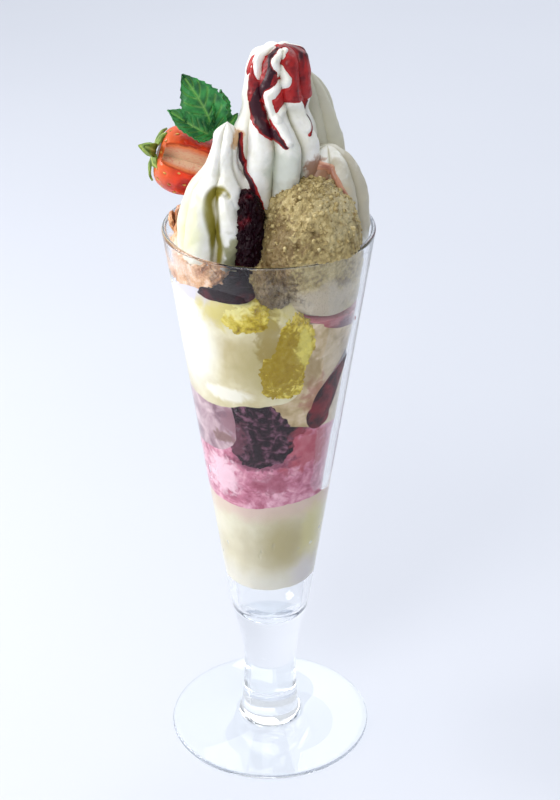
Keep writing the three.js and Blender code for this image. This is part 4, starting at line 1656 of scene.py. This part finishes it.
@dataclass(frozen=True)
class Strawberry:
    """A strawberry cut along its length, lying with its tip in the cream."""

    crown: Spot = (-39, 6, 245)
    point: Spot = (-10.5, 7, 235.5)
    front: Spot = (0.2, -0.9, 0.38)
    radius: float = 12.2
    cut_depth: float = 12.6
    cut_start: float = 0.04
    cut_end: float = 1.2
    cut_flare: Spot = (0.4, 0.55)
    seeds: int = 96
    seed_radii: Spot = (0.42, 0.3, 0.72)
    seed_depth: float = 0.3  # how deep the middle of a seed lies
    dimple_depth: float = 0.5
    dimple_width: float = 0.85
    outline: tuple[Spot, ...] = (
        (0, 0.03), (0.4, 0), (0.78, 0.06), (0.98, 0.22), (0.98, 0.42),
        (0.78, 0.66), (0.48, 0.86), (0.2, 0.97), (0, 1),
    )

    @property
    def length(self) -> float:
        """From its crown to its tip."""
        return math.dist(self.crown, self.point)

    def frame(self) -> Array:
        """Its own frame: Z from crown to tip, X out through the cut."""
        crown = np.asarray(self.crown, float)
        along = unit(np.asarray(self.point, float) - crown)
        front = np.asarray(self.front, float)
        side = unit(front - along * (front @ along))
        matrix = np.eye(4)
        matrix[:3] = np.stack([side, np.cross(along, side), along, crown], -1)
        return matrix

    @property
    def root(self) -> float:
        """How far from the axis the wedge of the cut starts."""
        return self.radius - self.cut_depth

    def flare(self, share: Array) -> Array:
        """How fast the cut widens outward, at shares of the length."""
        return self.cut_flare[0] + (self.cut_flare[1] - self.cut_flare[0]) * share

    def _profile(self, climb: Array) -> tuple[Array, Array]:
        """Radius and height at climbs from crown to tip."""
        knots = np.asarray(self.outline, float) * (self.radius, self.length)
        at = along_spline(knots, climb)
        return np.maximum(at[:, 0], 0), at[:, 1]

    def seed_places(self) -> tuple[Array, Array]:
        """Where the seeds are, and which way is out at each."""
        index = np.arange(self.seeds)
        climb = 0.16 + 0.8 * (index + 0.5) / self.seeds
        azimuth = index * math.pi * (3 - math.sqrt(5))
        radius, height = self._profile(climb)
        spots = round_axis(radius, azimuth, height)
        ahead_radius, ahead = self._profile(climb + 0.02)
        slope = np.arctan2(radius - ahead_radius, ahead - height)
        return spots, round_axis(np.cos(slope), azimuth, np.sin(slope))

    def body(self) -> Solid:
        """The whole berry with a dimple round each seed."""
        rings = Rings.fine(190, 120)
        azimuth, climb = rings.places()
        radius, height = self._profile(climb)
        radius = radius * (1 + 0.02 * np.sin(3 * azimuth + 1) * np.sin(math.pi * climb))
        points = round_axis(radius, azimuth, height)
        spots, _ = self.seed_places()
        nearest = np.linalg.norm(points[:, None] - spots[None], axis=2).min(1)
        inward = unit(points - (0, 0, 0.5 * self.length))
        dimple = self.dimple_depth * np.exp(-((nearest / self.dimple_width) ** 2))
        points = points - inward * dimple[:, None]
        return Solid(points, rings.faces(rings.rows - 1))

    def wedge(self) -> Solid:
        """The cut: a wedge that opens outward along +X, wider towards the tip."""
        steps, rows = 40, 60
        reach = 2 * self.radius - self.root
        share, across = (g.ravel() for g in np.meshgrid(
            np.linspace(0, 1, rows + 1), np.linspace(-1, 1, 2 * steps + 1), indexing="ij"
        ))
        flare = self.flare(share)
        far = reach * np.abs(across)
        height = self.length * (self.cut_start + (self.cut_end - self.cut_start) * share)
        uneven = 0.25 * Noise(21).layered(np.stack([far, across * 8, height], -1) / 3.0, 3)
        inner = np.stack([self.root + far, flare * reach * across + uneven, height], -1)
        outer = np.stack([np.full(len(far), self.root + reach + 1.0), flare * reach * across, height], -1)
        return shell(inner, outer, sheet_quads(rows, 2 * steps))

    def marks(self, points: Array) -> dict[str, Array]:
        """How deep in the flesh, and how near the crown, points are."""
        matrix = np.linalg.inv(self.frame())
        local = points @ matrix[:3, :3].T + matrix[:3, 3]
        climbs = np.linspace(0.12, 1, 200)
        radius, height = self._profile(climbs)
        whole = np.interp(local[:, 2], height, radius)
        share = np.hypot(local[:, 0], local[:, 1]) / np.maximum(whole, 0.5)
        return {
            "flesh": np.clip(1 - share - 0.045, 0, 1),
            "shoulder": smooth_step(-local[:, 2] / self.length, -0.3, -0.02),
        }

    def seed(self, spot: Array, out: Array) -> Solid:
        """One seed: a small drop pressed into its dimple."""
        rings = Rings(8, 6)
        along = unit(np.array([0.0, 0.0, 1.0]) - out * out[2])
        axes = np.stack([np.cross(out, along), out, along])
        points = spot - self.seed_depth * out + (rings.ball() * self.seed_radii) @ axes
        return Solid(points, rings.faces(rings.rows - 1))

    def build(self, table: Table) -> None:
        """Builds the berry and its seeds."""
        whole = self.body()
        tool = table.cutter.tool(self.wedge())
        berry = table.cutter.combined(whole, [(Operation.CUT, tool)]).largest().moved(self.frame())
        bpy.data.objects.remove(tool)
        table.cutter.keep_out_of(whole.moved(self.frame()))
        place("cut_strawberry", berry, Finishes.FRUIT, "strawberry", ("strawberry",),
              self.marks(berry.points), 40)
        spots, out = self.seed_places()
        flare = self.flare(spots[:, 2] / self.length)
        cut = (np.abs(spots[:, 1]) < flare * (spots[:, 0] - self.root) + 0.4) & (
            spots[:, 2] > self.cut_start * self.length - 0.5
        )
        kept = [self.seed(s, o) for s, o in zip(spots[~cut], out[~cut])]
        place("strawberry_seeds", gathered(kept).moved(self.frame()), Finishes.SEEDS, "strawberry")


@dataclass(frozen=True)
class Calyx:
    """The strawberry's green leaves round a short stalk."""

    berry: Strawberry
    count: int = 6
    length: float = 10.5
    width: float = 2.3
    thickness: float = 0.6
    seat: float = -0.8
    lying: Spot = (0, 0.1, -0.9, -2.6)
    flared: Spot = (0, 0.5, 2.4, 5)

    def build(self) -> None:
        """Builds the leaves and the stalk."""
        solids, veins = [], []
        for i in range(self.count):
            turn = 2 * math.pi * (i + 0.2 * math.sin(5 * i)) / self.count
            reach = self.length * (0.85 + 0.25 * math.sin(3 * i + 1))
            out = (math.cos(turn), math.sin(turn))
            rise = self.flared if i % 3 == 0 else self.lying
            spine = tuple(
                (far * out[0], far * out[1], self.seat - 0.8 - up)
                for far, up in zip((1.2, 0.45 * reach, 0.8 * reach, reach), rise)
            )
            leaf, vein = Leaf(
                spine, (0.3 * out[0], 0.3 * out[1], 1), self.width, ends=(0.12, 0.98), least=0.15,
                thickness=self.thickness, cup=0.25, crumple=0.35, seed=i, rows=36, columns=16,
            ).solid()
            solids.append(leaf)
            veins.append(vein)
        stalk = Thread(
            ((0, 0, self.seat + 0.3), (0, 0, self.seat - 2), (1, 0.5, self.seat - 5)), (2.2, 1.8, 1.1),
            Relief(depth=0.1, size=2), 20, 24,
        ).solid()
        solids.append(stalk)
        veins.append(np.full(len(stalk.points), 0.5))
        whole = gathered(solids).moved(self.berry.frame())
        place("strawberry_leaves", whole, Finishes.CALYX, "calyx", ("strawberry_calyx",),
              {"vein": np.concatenate(veins)}, 40)


@dataclass(frozen=True)
class MintSprig:
    """A sprig of mint: toothed leaves joined at the top of a stalk."""

    base: Spot = (-18.6, 0.5, 252.5)
    leaves: tuple[tuple[Spot, Spot, float, Spot], ...] = (  # middle, tip, half width, normal
        ((-22, 0.5, 263), (-29.6, 4, 274.5), 7.4, (-0.15, -1, 0.5)),
        ((-25.5, -2.5, 257.5), (-34.8, -2, 263.6), 4.6, (0.1, -0.75, 0.8)),
        ((-17, 1.5, 260.5), (-16.5, 4.5, 268.8), 4.4, (0.75, -0.8, 0.35)),
        ((-14.5, -0.5, 256.5), (-10.6, 1, 261.4), 2.2, (0.3, -0.8, 0.6)),
    )

    def build(self) -> None:
        """Builds the leaves and the stalk."""
        x, y, z = self.base
        stalk = Thread(
            ((x + 1.5, y + 2, z - 9), (x + 0.6, y + 1, z - 4), (x, y, z + 1.5)), (1.2, 1.3, 1.2),
            Relief(depth=0.08, size=2), 18, 30,
        ).solid()
        solids, veins = [stalk], [np.full(len(stalk.points), 0.6)]
        for number, (middle, tip, half, normal) in enumerate(self.leaves):
            start = tuple(b + 0.12 * (m - b) for b, m in zip(self.base, middle))
            leaf, vein = Leaf(
                (start, middle, tip), normal, half, length_power=0.8, cup=0.3, wave=0.7, teeth=11,
                veins=7, crumple=0.25, thickness=0.45, seed=50 + number, rows=120, columns=40,
            ).solid()
            solids.append(leaf)
            veins.append(vein)
        place("mint_leaves", gathered(solids), Finishes.MINT, "mint", ("mint_sprig",),
              {"vein": np.concatenate(veins)}, 50)


@dataclass(frozen=True)
class Layer:
    """A food in the glass, of one or several spoonfuls or threads."""

    name: str
    node: str
    forms: tuple[Spoonful | Thread, ...]
    finish: Finish
    slot: str
    thick: float | None = None

    def build(self, table: Table) -> Solid:
        """Builds the layer, cut back from all that is in the glass, and gives its form."""
        solid = table.cutter.joined([form.solid() for form in self.forms])
        cut = table.fit(solid, self.thick is not None)
        marks = {} if self.thick is None else {"thick": np.full(len(cut.points), self.thick)}
        place(self.name, cut, self.finish, self.slot, (self.node,), marks)
        return cut


@dataclass(frozen=True)
class Crumbs:
    """Loose crumbs of ice cream on a scoop."""

    scoop: Spoonful
    count: int = 420
    sizes: Spot = (0.3, 1.0)
    lowest: float = 223.0
    least_reach: float = 0.9  # how near the scoop's own surface a crumb lies, as a share of it

    def crumb(self, spot: Array, size: float, seed: int) -> Solid:
        """One crumb: a small rough lump."""
        rings = Rings(9, 7)
        direction = rings.ball()
        rough = 1 + 0.45 * Noise(seed).layered(direction * 1.3 + seed, 2)
        return Solid(spot + direction * (size * rough)[:, None], rings.faces(rings.rows - 1))

    def build(self, surface: Solid) -> None:
        """Scatters the crumbs over the open part of the scoop's surface."""
        draw = np.random.default_rng(17)
        far = np.linalg.norm((surface.points - self.scoop.centre) / self.scoop.radii, axis=1)
        open_spots = surface.points[(far > self.least_reach) & (surface.points[:, 2] > self.lowest)]
        picked = open_spots[draw.integers(0, len(open_spots), self.count)]
        sizes = self.sizes[0] + (self.sizes[1] - self.sizes[0]) * draw.uniform(0, 1, self.count) ** 2.5
        crumbs = [self.crumb(spot, size, k) for k, (spot, size) in enumerate(zip(picked, sizes))]
        place("ice_cream_crumbs", gathered(crumbs), Finishes.CRUMBS, "coffee_ice_cream")


@dataclass(frozen=True)
class PipedCream:
    """A swirl of cream, and the sauce poured over it."""

    name: str
    node: str
    swirl: Swirl
    pours: tuple[Run, ...] = ()
    sauce_finish: Finish = Finishes.SAUCE

    def build(self, table: Table) -> None:
        """Builds the cream and its sauce."""
        cream = table.fit(self.swirl.solid())
        # Each point carries how much painted shade its groove gets.
        place(self.name, cream, Finishes.CREAM, "whipped_cream", (self.node,),
              {"hollow": self.swirl.hollow(cream.points)}, 70)
        if self.pours:
            sauce, thick = self.swirl.sauce(self.pours)
            place(f"{self.name}_sauce", sauce, self.sauce_finish, "berry_sauce", (), {"thick": thick}, 80)


@dataclass(frozen=True)
class Cornflakes:
    """The bed of cornflakes, with flakes that lean on the wall."""

    glass: Glass
    bed: Spoonful = Spoonful(
        (-24, -6, 210.5), (12, 24, 6.5), square=2.3, rough=0.08, seed=5,
        relief=Relief(Texture.LUMPY, 7, 1.4, 31),
    )
    count: int = 8
    azimuths: Spot = (-196.0, -128.0)
    heights: Spot = (220.0, 209.0)
    inset: float = 1.9
    size: float = 4.6
    small_count: int = 46
    small_sizes: Spot = (2.2, 3.6)
    spread: Spot = (11, 21)  # how far the smaller ones lie from the middle of the bed
    top: float = 5.7  # how high above it they lie there
    fall: float = 2.3  # how much lower they lie at its edge
    margin: float = 3.6  # how near the wall their middles come

    def leaning(self, number: int) -> Solid:
        """One flake that leans on the wall.

        Args:
            number: Which flake it is, from 0.

        Returns:
            The flake.
        """
        share = number / (self.count - 1)
        azimuth = math.radians(self.azimuths[0] + (self.azimuths[1] - self.azimuths[0]) * share)
        height = self.heights[0] + (self.heights[1] - self.heights[0]) * share
        height += 1.6 * math.sin(7 * number)
        radius = self.glass.inner(height) - self.inset - 1.2 * math.sin(4 * number)
        out = np.array([math.cos(azimuth), math.sin(azimuth), 0.0])
        middle = radius * out + (0, 0, height)
        along = unit(np.array([-out[1], out[0], math.sin(3 * number)]))
        size = self.size * (1 + 0.2 * math.sin(9 * number))
        return self._flake(middle, along, out, size, 0.3 * math.sin(5 * number), number)

    @staticmethod
    def _flake(middle: Array, along: Array, out: Array, size: float, tip: float, seed: int) -> Solid:
        """A curled and blistered flake.

        Args:
            middle: Its middle.
            along: The way its length runs.
            out: The way its face looks.
            size: Half its length.
            tip: How far its face leans up.
            seed: Picks its crumples.

        Returns:
            The flake.
        """
        ends = tuple(tuple(middle + along * end * size - out * 1.1 * end * end) for end in (-1, 0, 1))
        normal = (out[0], out[1], out[2] + tip)
        leaf, _ = Leaf(
            ends, normal, 0.75 * size, ends=(0.12, 0.88), least=0.1, thickness=0.75, cup=-0.3,
            crumple=0.9, seed=seed, rows=26, columns=20,
        ).solid()
        return leaf

    def small(self) -> list[Solid]:
        """Smaller flakes that lie on the bed."""
        draw = np.random.default_rng(7)
        flakes = []
        for number in range(self.small_count):
            angle, reach = draw.uniform(0, 2 * math.pi), math.sqrt(draw.uniform(0, 1))
            middle = np.asarray(self.bed.centre) + (
                self.spread[0] * reach * math.cos(angle), self.spread[1] * reach * math.sin(angle),
                self.top - self.fall * reach,
            )
            radius = math.hypot(middle[0], middle[1])
            most = self.glass.inner(middle[2]) - self.margin
            middle[:2] *= min(1.0, most / radius)
            heading = draw.uniform(0, 2 * math.pi)
            along = np.array([math.cos(heading), math.sin(heading), draw.uniform(-0.4, 0.4)])
            out = unit(np.array([draw.uniform(-0.5, 0.5), draw.uniform(-0.5, 0.5), 1.0]))
            size = draw.uniform(*self.small_sizes)
            flakes.append(self._flake(middle, unit(along), out, size, 0, 60 + number))
        return flakes

    def build(self, table: Table) -> None:
        """Builds the bed and the flakes."""
        bed = table.fit(self.bed.solid())
        place("flake_bed", bed, Finishes.FLAKES, "cornflakes", ("cornflakes",))
        flakes = [self.leaning(number) for number in range(self.count)] + self.small()
        place("flakes", gathered(flakes), Finishes.FLAKES, "cornflakes", crease=45)


# ---------------------------------------------------------------- the sundae


@dataclass(frozen=True)
class Sundae:
    """The whole sundae, from the toppings down."""

    glass: Glass = Glass()
    strawberry: Strawberry = Strawberry()
    mint: MintSprig = MintSprig()

    coffee = Layer(
        "coffee_ice_cream", "coffee_scoop",
        (
            Spoonful((14, -13, 218), (18.5, 22, 23.5), square=2.15, rough=0.06, seed=2,
                     relief=Relief(Texture.CRUMBLY, 5.0, 1.3, 5), columns=260, rows=170),
            Spoonful((1.5, -20, 207), (8.5, 13, 11.5), square=2.2, rough=0.08, seed=26,
                     relief=Relief(Texture.CRUMBLY, 4.0, 1.3, 25), columns=160, rows=100),
            Spoonful((19, -11, 204), (16.5, 20, 8.5), square=2.6, rough=0.04, seed=5,
                     relief=Relief(size=6, depth=0.6, seed=6)),
        ),
        Finishes.COFFEE, "coffee_ice_cream",
    )
    creams = (
        PipedCream("cream_rosette", "cream_left", Swirl(
            (-20.8, -13.5),
            ((0, 210), (8.5, 210.6), (11.6, 215), (13.2, 222), (13.2, 231), (11, 239), (6.4, 245.5),
             (4.8, 251), (4, 258), (0, 262)),
            5, 0.32, 0.4, (6.5, 5), 3.9, seed=12, tint=0.3, beads=(
                Run(((-72, 0.56), (-86, 0.58), (-102, 0.55), (-101, 0.48), (-92, 0.4), (-82, 0.32),
                     (-80, 0.22)), (1.0, 1.9, 2.5, 2.6, 2.6, 2.4, 1.8), -1.9),
                Run(((-80, 0.57), (-74, 0.49), (-62, 0.4), (-50, 0.32)), (1.5, 3.0, 3.4, 2.4), 1.1),
                Run(((-76, 0.84), (-112, 0.75), (-122, 0.685)), (2.0, 2.6, 2.0), 0.8),
            ),
        )),
        PipedCream("cream_peak_swirl", "cream_peak", Swirl(
            (-1, 1),
            ((0, 216), (11, 217), (15.5, 227), (17.5, 240), (16.8, 252), (13.4, 259.5), (11.6, 264),
             (11.8, 271), (10.9, 278.5), (8.4, 284), (0, 286.5)),
            8, 0.3, 1.2, (5, 0), 0.3, sway=0.4, columns=280, rows=190, seed=13,
            flood=Flood(-66, 86, 0.655), beads=(
                Run(((-70, 0.941), (-98, 0.873), (-79, 0.792), (-75, 0.763), (-97, 0.721), (-107, 0.694),
                     (-97, 0.626), (-82, 0.528), (-70, 0.448)),
                    (1.5, 2.0, 1.9, 1.9, 1.9, 1.9, 1.7, 2.1, 1.7), 1.5),
                Run(((-86, 0.585), (-79, 0.628), (-60, 0.645), (-46, 0.628), (-33, 0.555), (-35, 0.48)),
                    (1.5, 1.9, 2.2, 2.3, 2.2, 1.6), 1.3),
                Run(((-142, 0.95), (-142, 0.89), (-138, 0.82), (-134, 0.77)), (1.8, 2.0, 1.8, 1.0), 0.9),
            ),
        ), (
            Run(((-117, 0.945), (-108, 0.88), (-105, 0.81), (-112, 0.75), (-126, 0.7), (-129, 0.655),
                 (-122, 0.6), (-113, 0.55), (-101, 0.489), (-85, 0.467), (-74, 0.43)),
                (2.8, 2.8, 3.3, 3.7, 3.8, 3.6, 3.3, 3.0, 2.7, 2.2, 1.4), 1.2),
            Run(((-19, 0.935), (-33, 0.875), (-37, 0.814), (-54, 0.751), (-57, 0.697), (-67, 0.66),
                  (-88, 0.65)), (2.6, 2.6, 2.5, 3.0, 3.2, 2.2, 1.7), 0.55),
            Run(((-163, 0.86), (-166, 0.825), (-158, 0.79)), (1.8, 2.6, 1.8), 0.3),
            Run(((-18, 0.64), (-14, 0.57), (-22, 0.504), (-32, 0.453)), (1.4, 1.0, 0.9, 0.8), 0.7),
            Run(((-145, 0.45), (-139, 0.399), (-133, 0.355), (-116, 0.325), (-108, 0.284),
                  (-104, 0.247), (-99, 0.2)), (0.9, 0.9, 1.0, 1.3, 1.7, 2.3, 3.0), 1.1),
        )),
        PipedCream("cream_right_lobe", "cream_right", Swirl(
            (23.5, 1.8),
            ((0, 206), (9, 208), (12.9, 214), (13.8, 223), (13, 234), (9.5, 243), (4, 248), (0, 249)),
            6, 0.26, -0.3, (-3, 1), 1.2, columns=180, rows=110, seed=14,
        ), (Run(((-120, 0.745), (-98, 0.74), (-82, 0.699), (-69, 0.614), (-61, 0.523), (-50, 0.433),
                   (-38, 0.33)), (2.0, 1.7, 1.5, 1.3, 1.2, 1.1, 0.8), 0.5),), Finishes.THIN_SAUCE),
        PipedCream("cream_back_lobe", "cream_back", Swirl(
            (17, 18),
            ((0, 207), (9, 209.5), (13, 218), (13.8, 232), (12.4, 244), (9.4, 256), (5.4, 266), (0, 272)),
            6, 0.18, 0.6, (-2.5, -1), 0.2, columns=170, rows=110, seed=15, tint=0.25,
        )),
        PipedCream("cream_back_left_lobe", "cream_back_left", Swirl(
            (-14, 19),
            ((0, 206), (9, 207.5), (13.4, 215), (14.6, 226), (13.4, 237), (9, 246), (3.5, 251), (0, 252)),
            6, 0.28, -0.5, (2, -2), 0.9, columns=170, rows=100, seed=16,
        )),
        PipedCream("cream_back_middle_lobe", "cream_back_middle", Swirl(
            (1.8, 26),
            ((0, 203), (7, 205), (9.6, 213), (9.8, 224), (8, 234), (4, 241), (0, 243)),
            6, 0.2, 0.5, (1, -3), 0.6, columns=130, rows=90, seed=17,
        )),
    )

    def layers(self) -> tuple[Layer, ...]:
        """The foods in the glass, each cut back from those before it."""
        ripple = ((-24, 178), (-31.5, 172), (-40, 166), (-46, 160), (-51, 151))
        streak = tuple(self.by_wall(azimuth, height, 0.8) for azimuth, height in ripple)
        soft = Relief(size=7, depth=0.7)
        lumpy = Relief(Texture.LUMPY, 6, 1.1, 19)
        return (
            Layer("sauce_band", "sauce_pool", (
                Spoonful((-13.5, -13, 206.5), (12, 22, 3.6), square=2.4, rough=0.06, seed=3, relief=soft),
                Spoonful((-7, -17.5, 223.5), (6.2, 9, 17), rough=0.06, seed=4,
                         relief=Relief(Texture.LUMPY, 5, 1.3, 8)),
            ), Finishes.WET_SAUCE, "berry_sauce", 0.95),
            Layer("mango_in_syrup", "mango_compote", (
                Spoonful((8.5, -26, 188), (7, 9, 12), square=2.3, rough=0.1, seed=6, relief=lumpy),
                Spoonful((4, -26, 175.5), (8, 9, 11), square=2.3, rough=0.1, seed=16, relief=lumpy),
                Spoonful((-4.5, -17, 199), (15, 17, 9), square=2.4, rough=0.1, seed=7,
                         relief=Relief(Texture.LUMPY, 8, 1.0, 9)),
            ), Finishes.MANGO, "mango_compote"),
            Layer("vanilla_scoop_in_glass", "vanilla_scoop", (
                Spoonful((-10, -4, 184), (25, 32, 26.5), square=3.4, rough=0.03, seed=8, relief=soft),
            ), Finishes.VANILLA, "vanilla_ice_cream"),
            Layer("sauce_streak", "ripple_lower", (
                Thread(streak, (1.4, 8)),
                Spoonful((17, -20.5, 154), (4.2, 6, 5), 15, 2.6, rough=0.05, seed=22, relief=soft),
            ), Finishes.WET_SAUCE, "berry_sauce", 0.55),
            Layer("berry_ripple_band", "ripple_upper", (
                Spoonful((16, 2, 195), (24, 30, 3.4), -18, 2.4, rough=0.08, seed=9, relief=soft),
            ), Finishes.RIPPLE, "berry_ripple"),
            Layer("berry_cream_spoonful", "berry_cream", (
                Spoonful((-22, -5, 152), (15, 21, 15), square=2.8, rough=0.05, seed=11, relief=soft),
            ), Finishes.BERRY_CREAM, "berry_cream"),
            Layer("crushed_berries", "berry_layer", (
                Spoonful((-7, 2, 149.5), (27, 32, 4.5), square=2.6, rough=0.06, seed=12,
                         relief=Relief(Texture.LUMPY, 7, 0.8, 10)),
                Spoonful((-4, -20, 149.5), (12.5, 13, 16), 20, 2.2, rough=0.1, seed=13,
                         relief=Relief(Texture.LUMPY, 9, 1.2, 11)),
            ), Finishes.BERRIES, "dark_berries"),
            Layer("pale_scoop_in_glass", "vanilla_side", (
                Spoonful((14, 2, 175), (26, 34, 27), square=3.8, rough=0.03, seed=10, relief=soft),
            ), Finishes.PALE, "pale_ice_cream"),
            Layer("sorbet_scoop", "berry_sorbet", (
                Spoonful((2, 0, 132.5), (31, 31, 18.5), tilt=8, square=3.2, rough=0.05, seed=14,
                         relief=Relief(Texture.CRUMBLY, 8, 0.6, 12)),
            ), Finishes.SORBET, "berry_sorbet"),
            Layer("vanilla_below", "vanilla_base", (
                Spoonful((0, 0, 98), (30, 30, 27), square=2.1, rough=0.02, seed=15,
                         relief=Relief(size=8, depth=0.5)),
            ), Finishes.VANILLA, "vanilla_ice_cream"),
        )

    def by_wall(self, azimuth: float, height: float, inset: float) -> Spot:
        """A point just inside the wall, at an azimuth in degrees and a height."""
        radius = self.glass.inner(height) - inset
        angle = math.radians(azimuth)
        return (radius * math.cos(angle), radius * math.sin(angle), height)

    def build(self) -> None:
        """Builds every piece of the sundae."""
        self.glass.build()
        table = Table(self.glass)
        self.strawberry.build(table)
        Calyx(self.strawberry).build()
        self.mint.build()
        Crumbs(self.coffee.forms[0]).build(self.coffee.build(table))
        for cream in self.creams:
            cream.build(table)
        for layer in self.layers():
            layer.build(table)
        Cornflakes(self.glass).build(table)
        table.cutter.clear()


# ---------------------------------------------------------------- studio


@dataclass(frozen=True)
class Lamp:
    """A soft rectangular lamp that looks at the sundae."""

    name: str
    spot: Spot  # metres
    size: float
    power: float
    colour: Spot = (1.0, 1.0, 1.0)


@dataclass(frozen=True)
class Studio:
    """The pale floor, the soft lamps and the camera."""

    eye: Spot = (0.0, -0.6092, 0.4814)
    pitch: float = 28.634  # degrees down from level
    yaw: float = 0.377  # degrees towards +X
    lens: float = 83.36  # millimetres, for a sensor of 36 on the long side
    target: Spot = (0.0, 0.0, 0.15)
    sky: float = 0.8  # how bright the room is
    walls: Stops = (  # its colours, from the front to the back
        (0.0, (0.5, 0.52, 0.56, 1)), (0.45, (0.6, 0.63, 0.67, 1)), (0.8, (0.9, 0.94, 1.0, 1)),
    )
    floor_half: float = 3.0
    floor_level: float = -0.0002  # a hair below the foot
    lamps: tuple[Lamp, ...] = (
        Lamp("window", (-0.85, 0.1, 0.52), 0.5, 6.5, (1.0, 0.99, 0.98)),
        Lamp("ceiling", (0.35, 1.1, 1.2), 1.2, 8.0, (0.97, 0.98, 1.0)),
        Lamp("front", (-0.35, -0.75, 0.95), 0.6, 5.5, (1.0, 0.99, 0.97)),
    )

    def _floor(self) -> None:
        """Lays the floor."""
        half = self.floor_half
        corners = [(x * half, y * half, self.floor_level) for x, y in ((-1, -1), (1, -1), (1, 1), (-1, 1))]
        mesh = bpy.data.meshes.new("floor")
        mesh.from_pydata(corners, [], [(0, 1, 2, 3)])
        mesh.materials.append(Finishes.FLOOR.material())
        floor = bpy.data.objects.new("floor", mesh)
        bpy.context.scene.collection.objects.link(floor)

    def _light(self) -> None:
        """Hangs the lamps."""
        for lamp in self.lamps:
            data = bpy.data.lights.new(lamp.name, "AREA")
            data.size = lamp.size
            data.energy = lamp.power
            data.color = lamp.colour
            thing = bpy.data.objects.new(lamp.name, data)
            thing.location = lamp.spot
            aim = np.asarray(self.target) - np.asarray(lamp.spot)
            level = math.hypot(aim[0], aim[1])
            thing.rotation_euler = (math.atan2(level, -aim[2]), 0.0, math.atan2(-aim[0], aim[1]))
            bpy.context.scene.collection.objects.link(thing)

    def _room(self) -> None:
        """Surrounds the sundae with a pale room, brighter behind it than in front."""
        world = bpy.data.worlds.new("pale room")
        tree = NodeTree(world)
        heading = tree.node("ShaderNodeTexCoord", {}, {}).outputs["Generated"]
        behind = tree.part(heading, 1) * 0.5 + 0.5
        air = tree.node(
            "ShaderNodeBackground", {}, {"Color": tree.ramp(behind, self.walls), "Strength": self.sky}
        )
        tree.node("ShaderNodeOutputWorld", {}, {"Surface": air.outputs[0]})
        bpy.context.scene.world = world

    def build(self) -> None:
        """Sets the floor, the light, the camera and the tones."""
        self._floor()
        self._light()
        self._room()
        data = bpy.data.cameras.new("camera")
        data.lens = self.lens
        data.sensor_width = 36.0
        data.clip_start = 0.01
        camera = bpy.data.objects.new("camera", data)
        camera.location = self.eye
        camera.rotation_euler = (math.radians(90 - self.pitch), 0.0, math.radians(-self.yaw))
        scene = bpy.context.scene
        scene.collection.objects.link(camera)
        scene.camera = camera
        scene.view_settings.view_transform = "Standard"


def main() -> None:
    """Builds the sundae and its studio."""
    logging.basicConfig(level=logging.INFO, format="%(message)s", stream=sys.stdout)
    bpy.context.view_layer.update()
    Sundae().build()
    Studio().build()


if __name__ == "__main__":
    main()
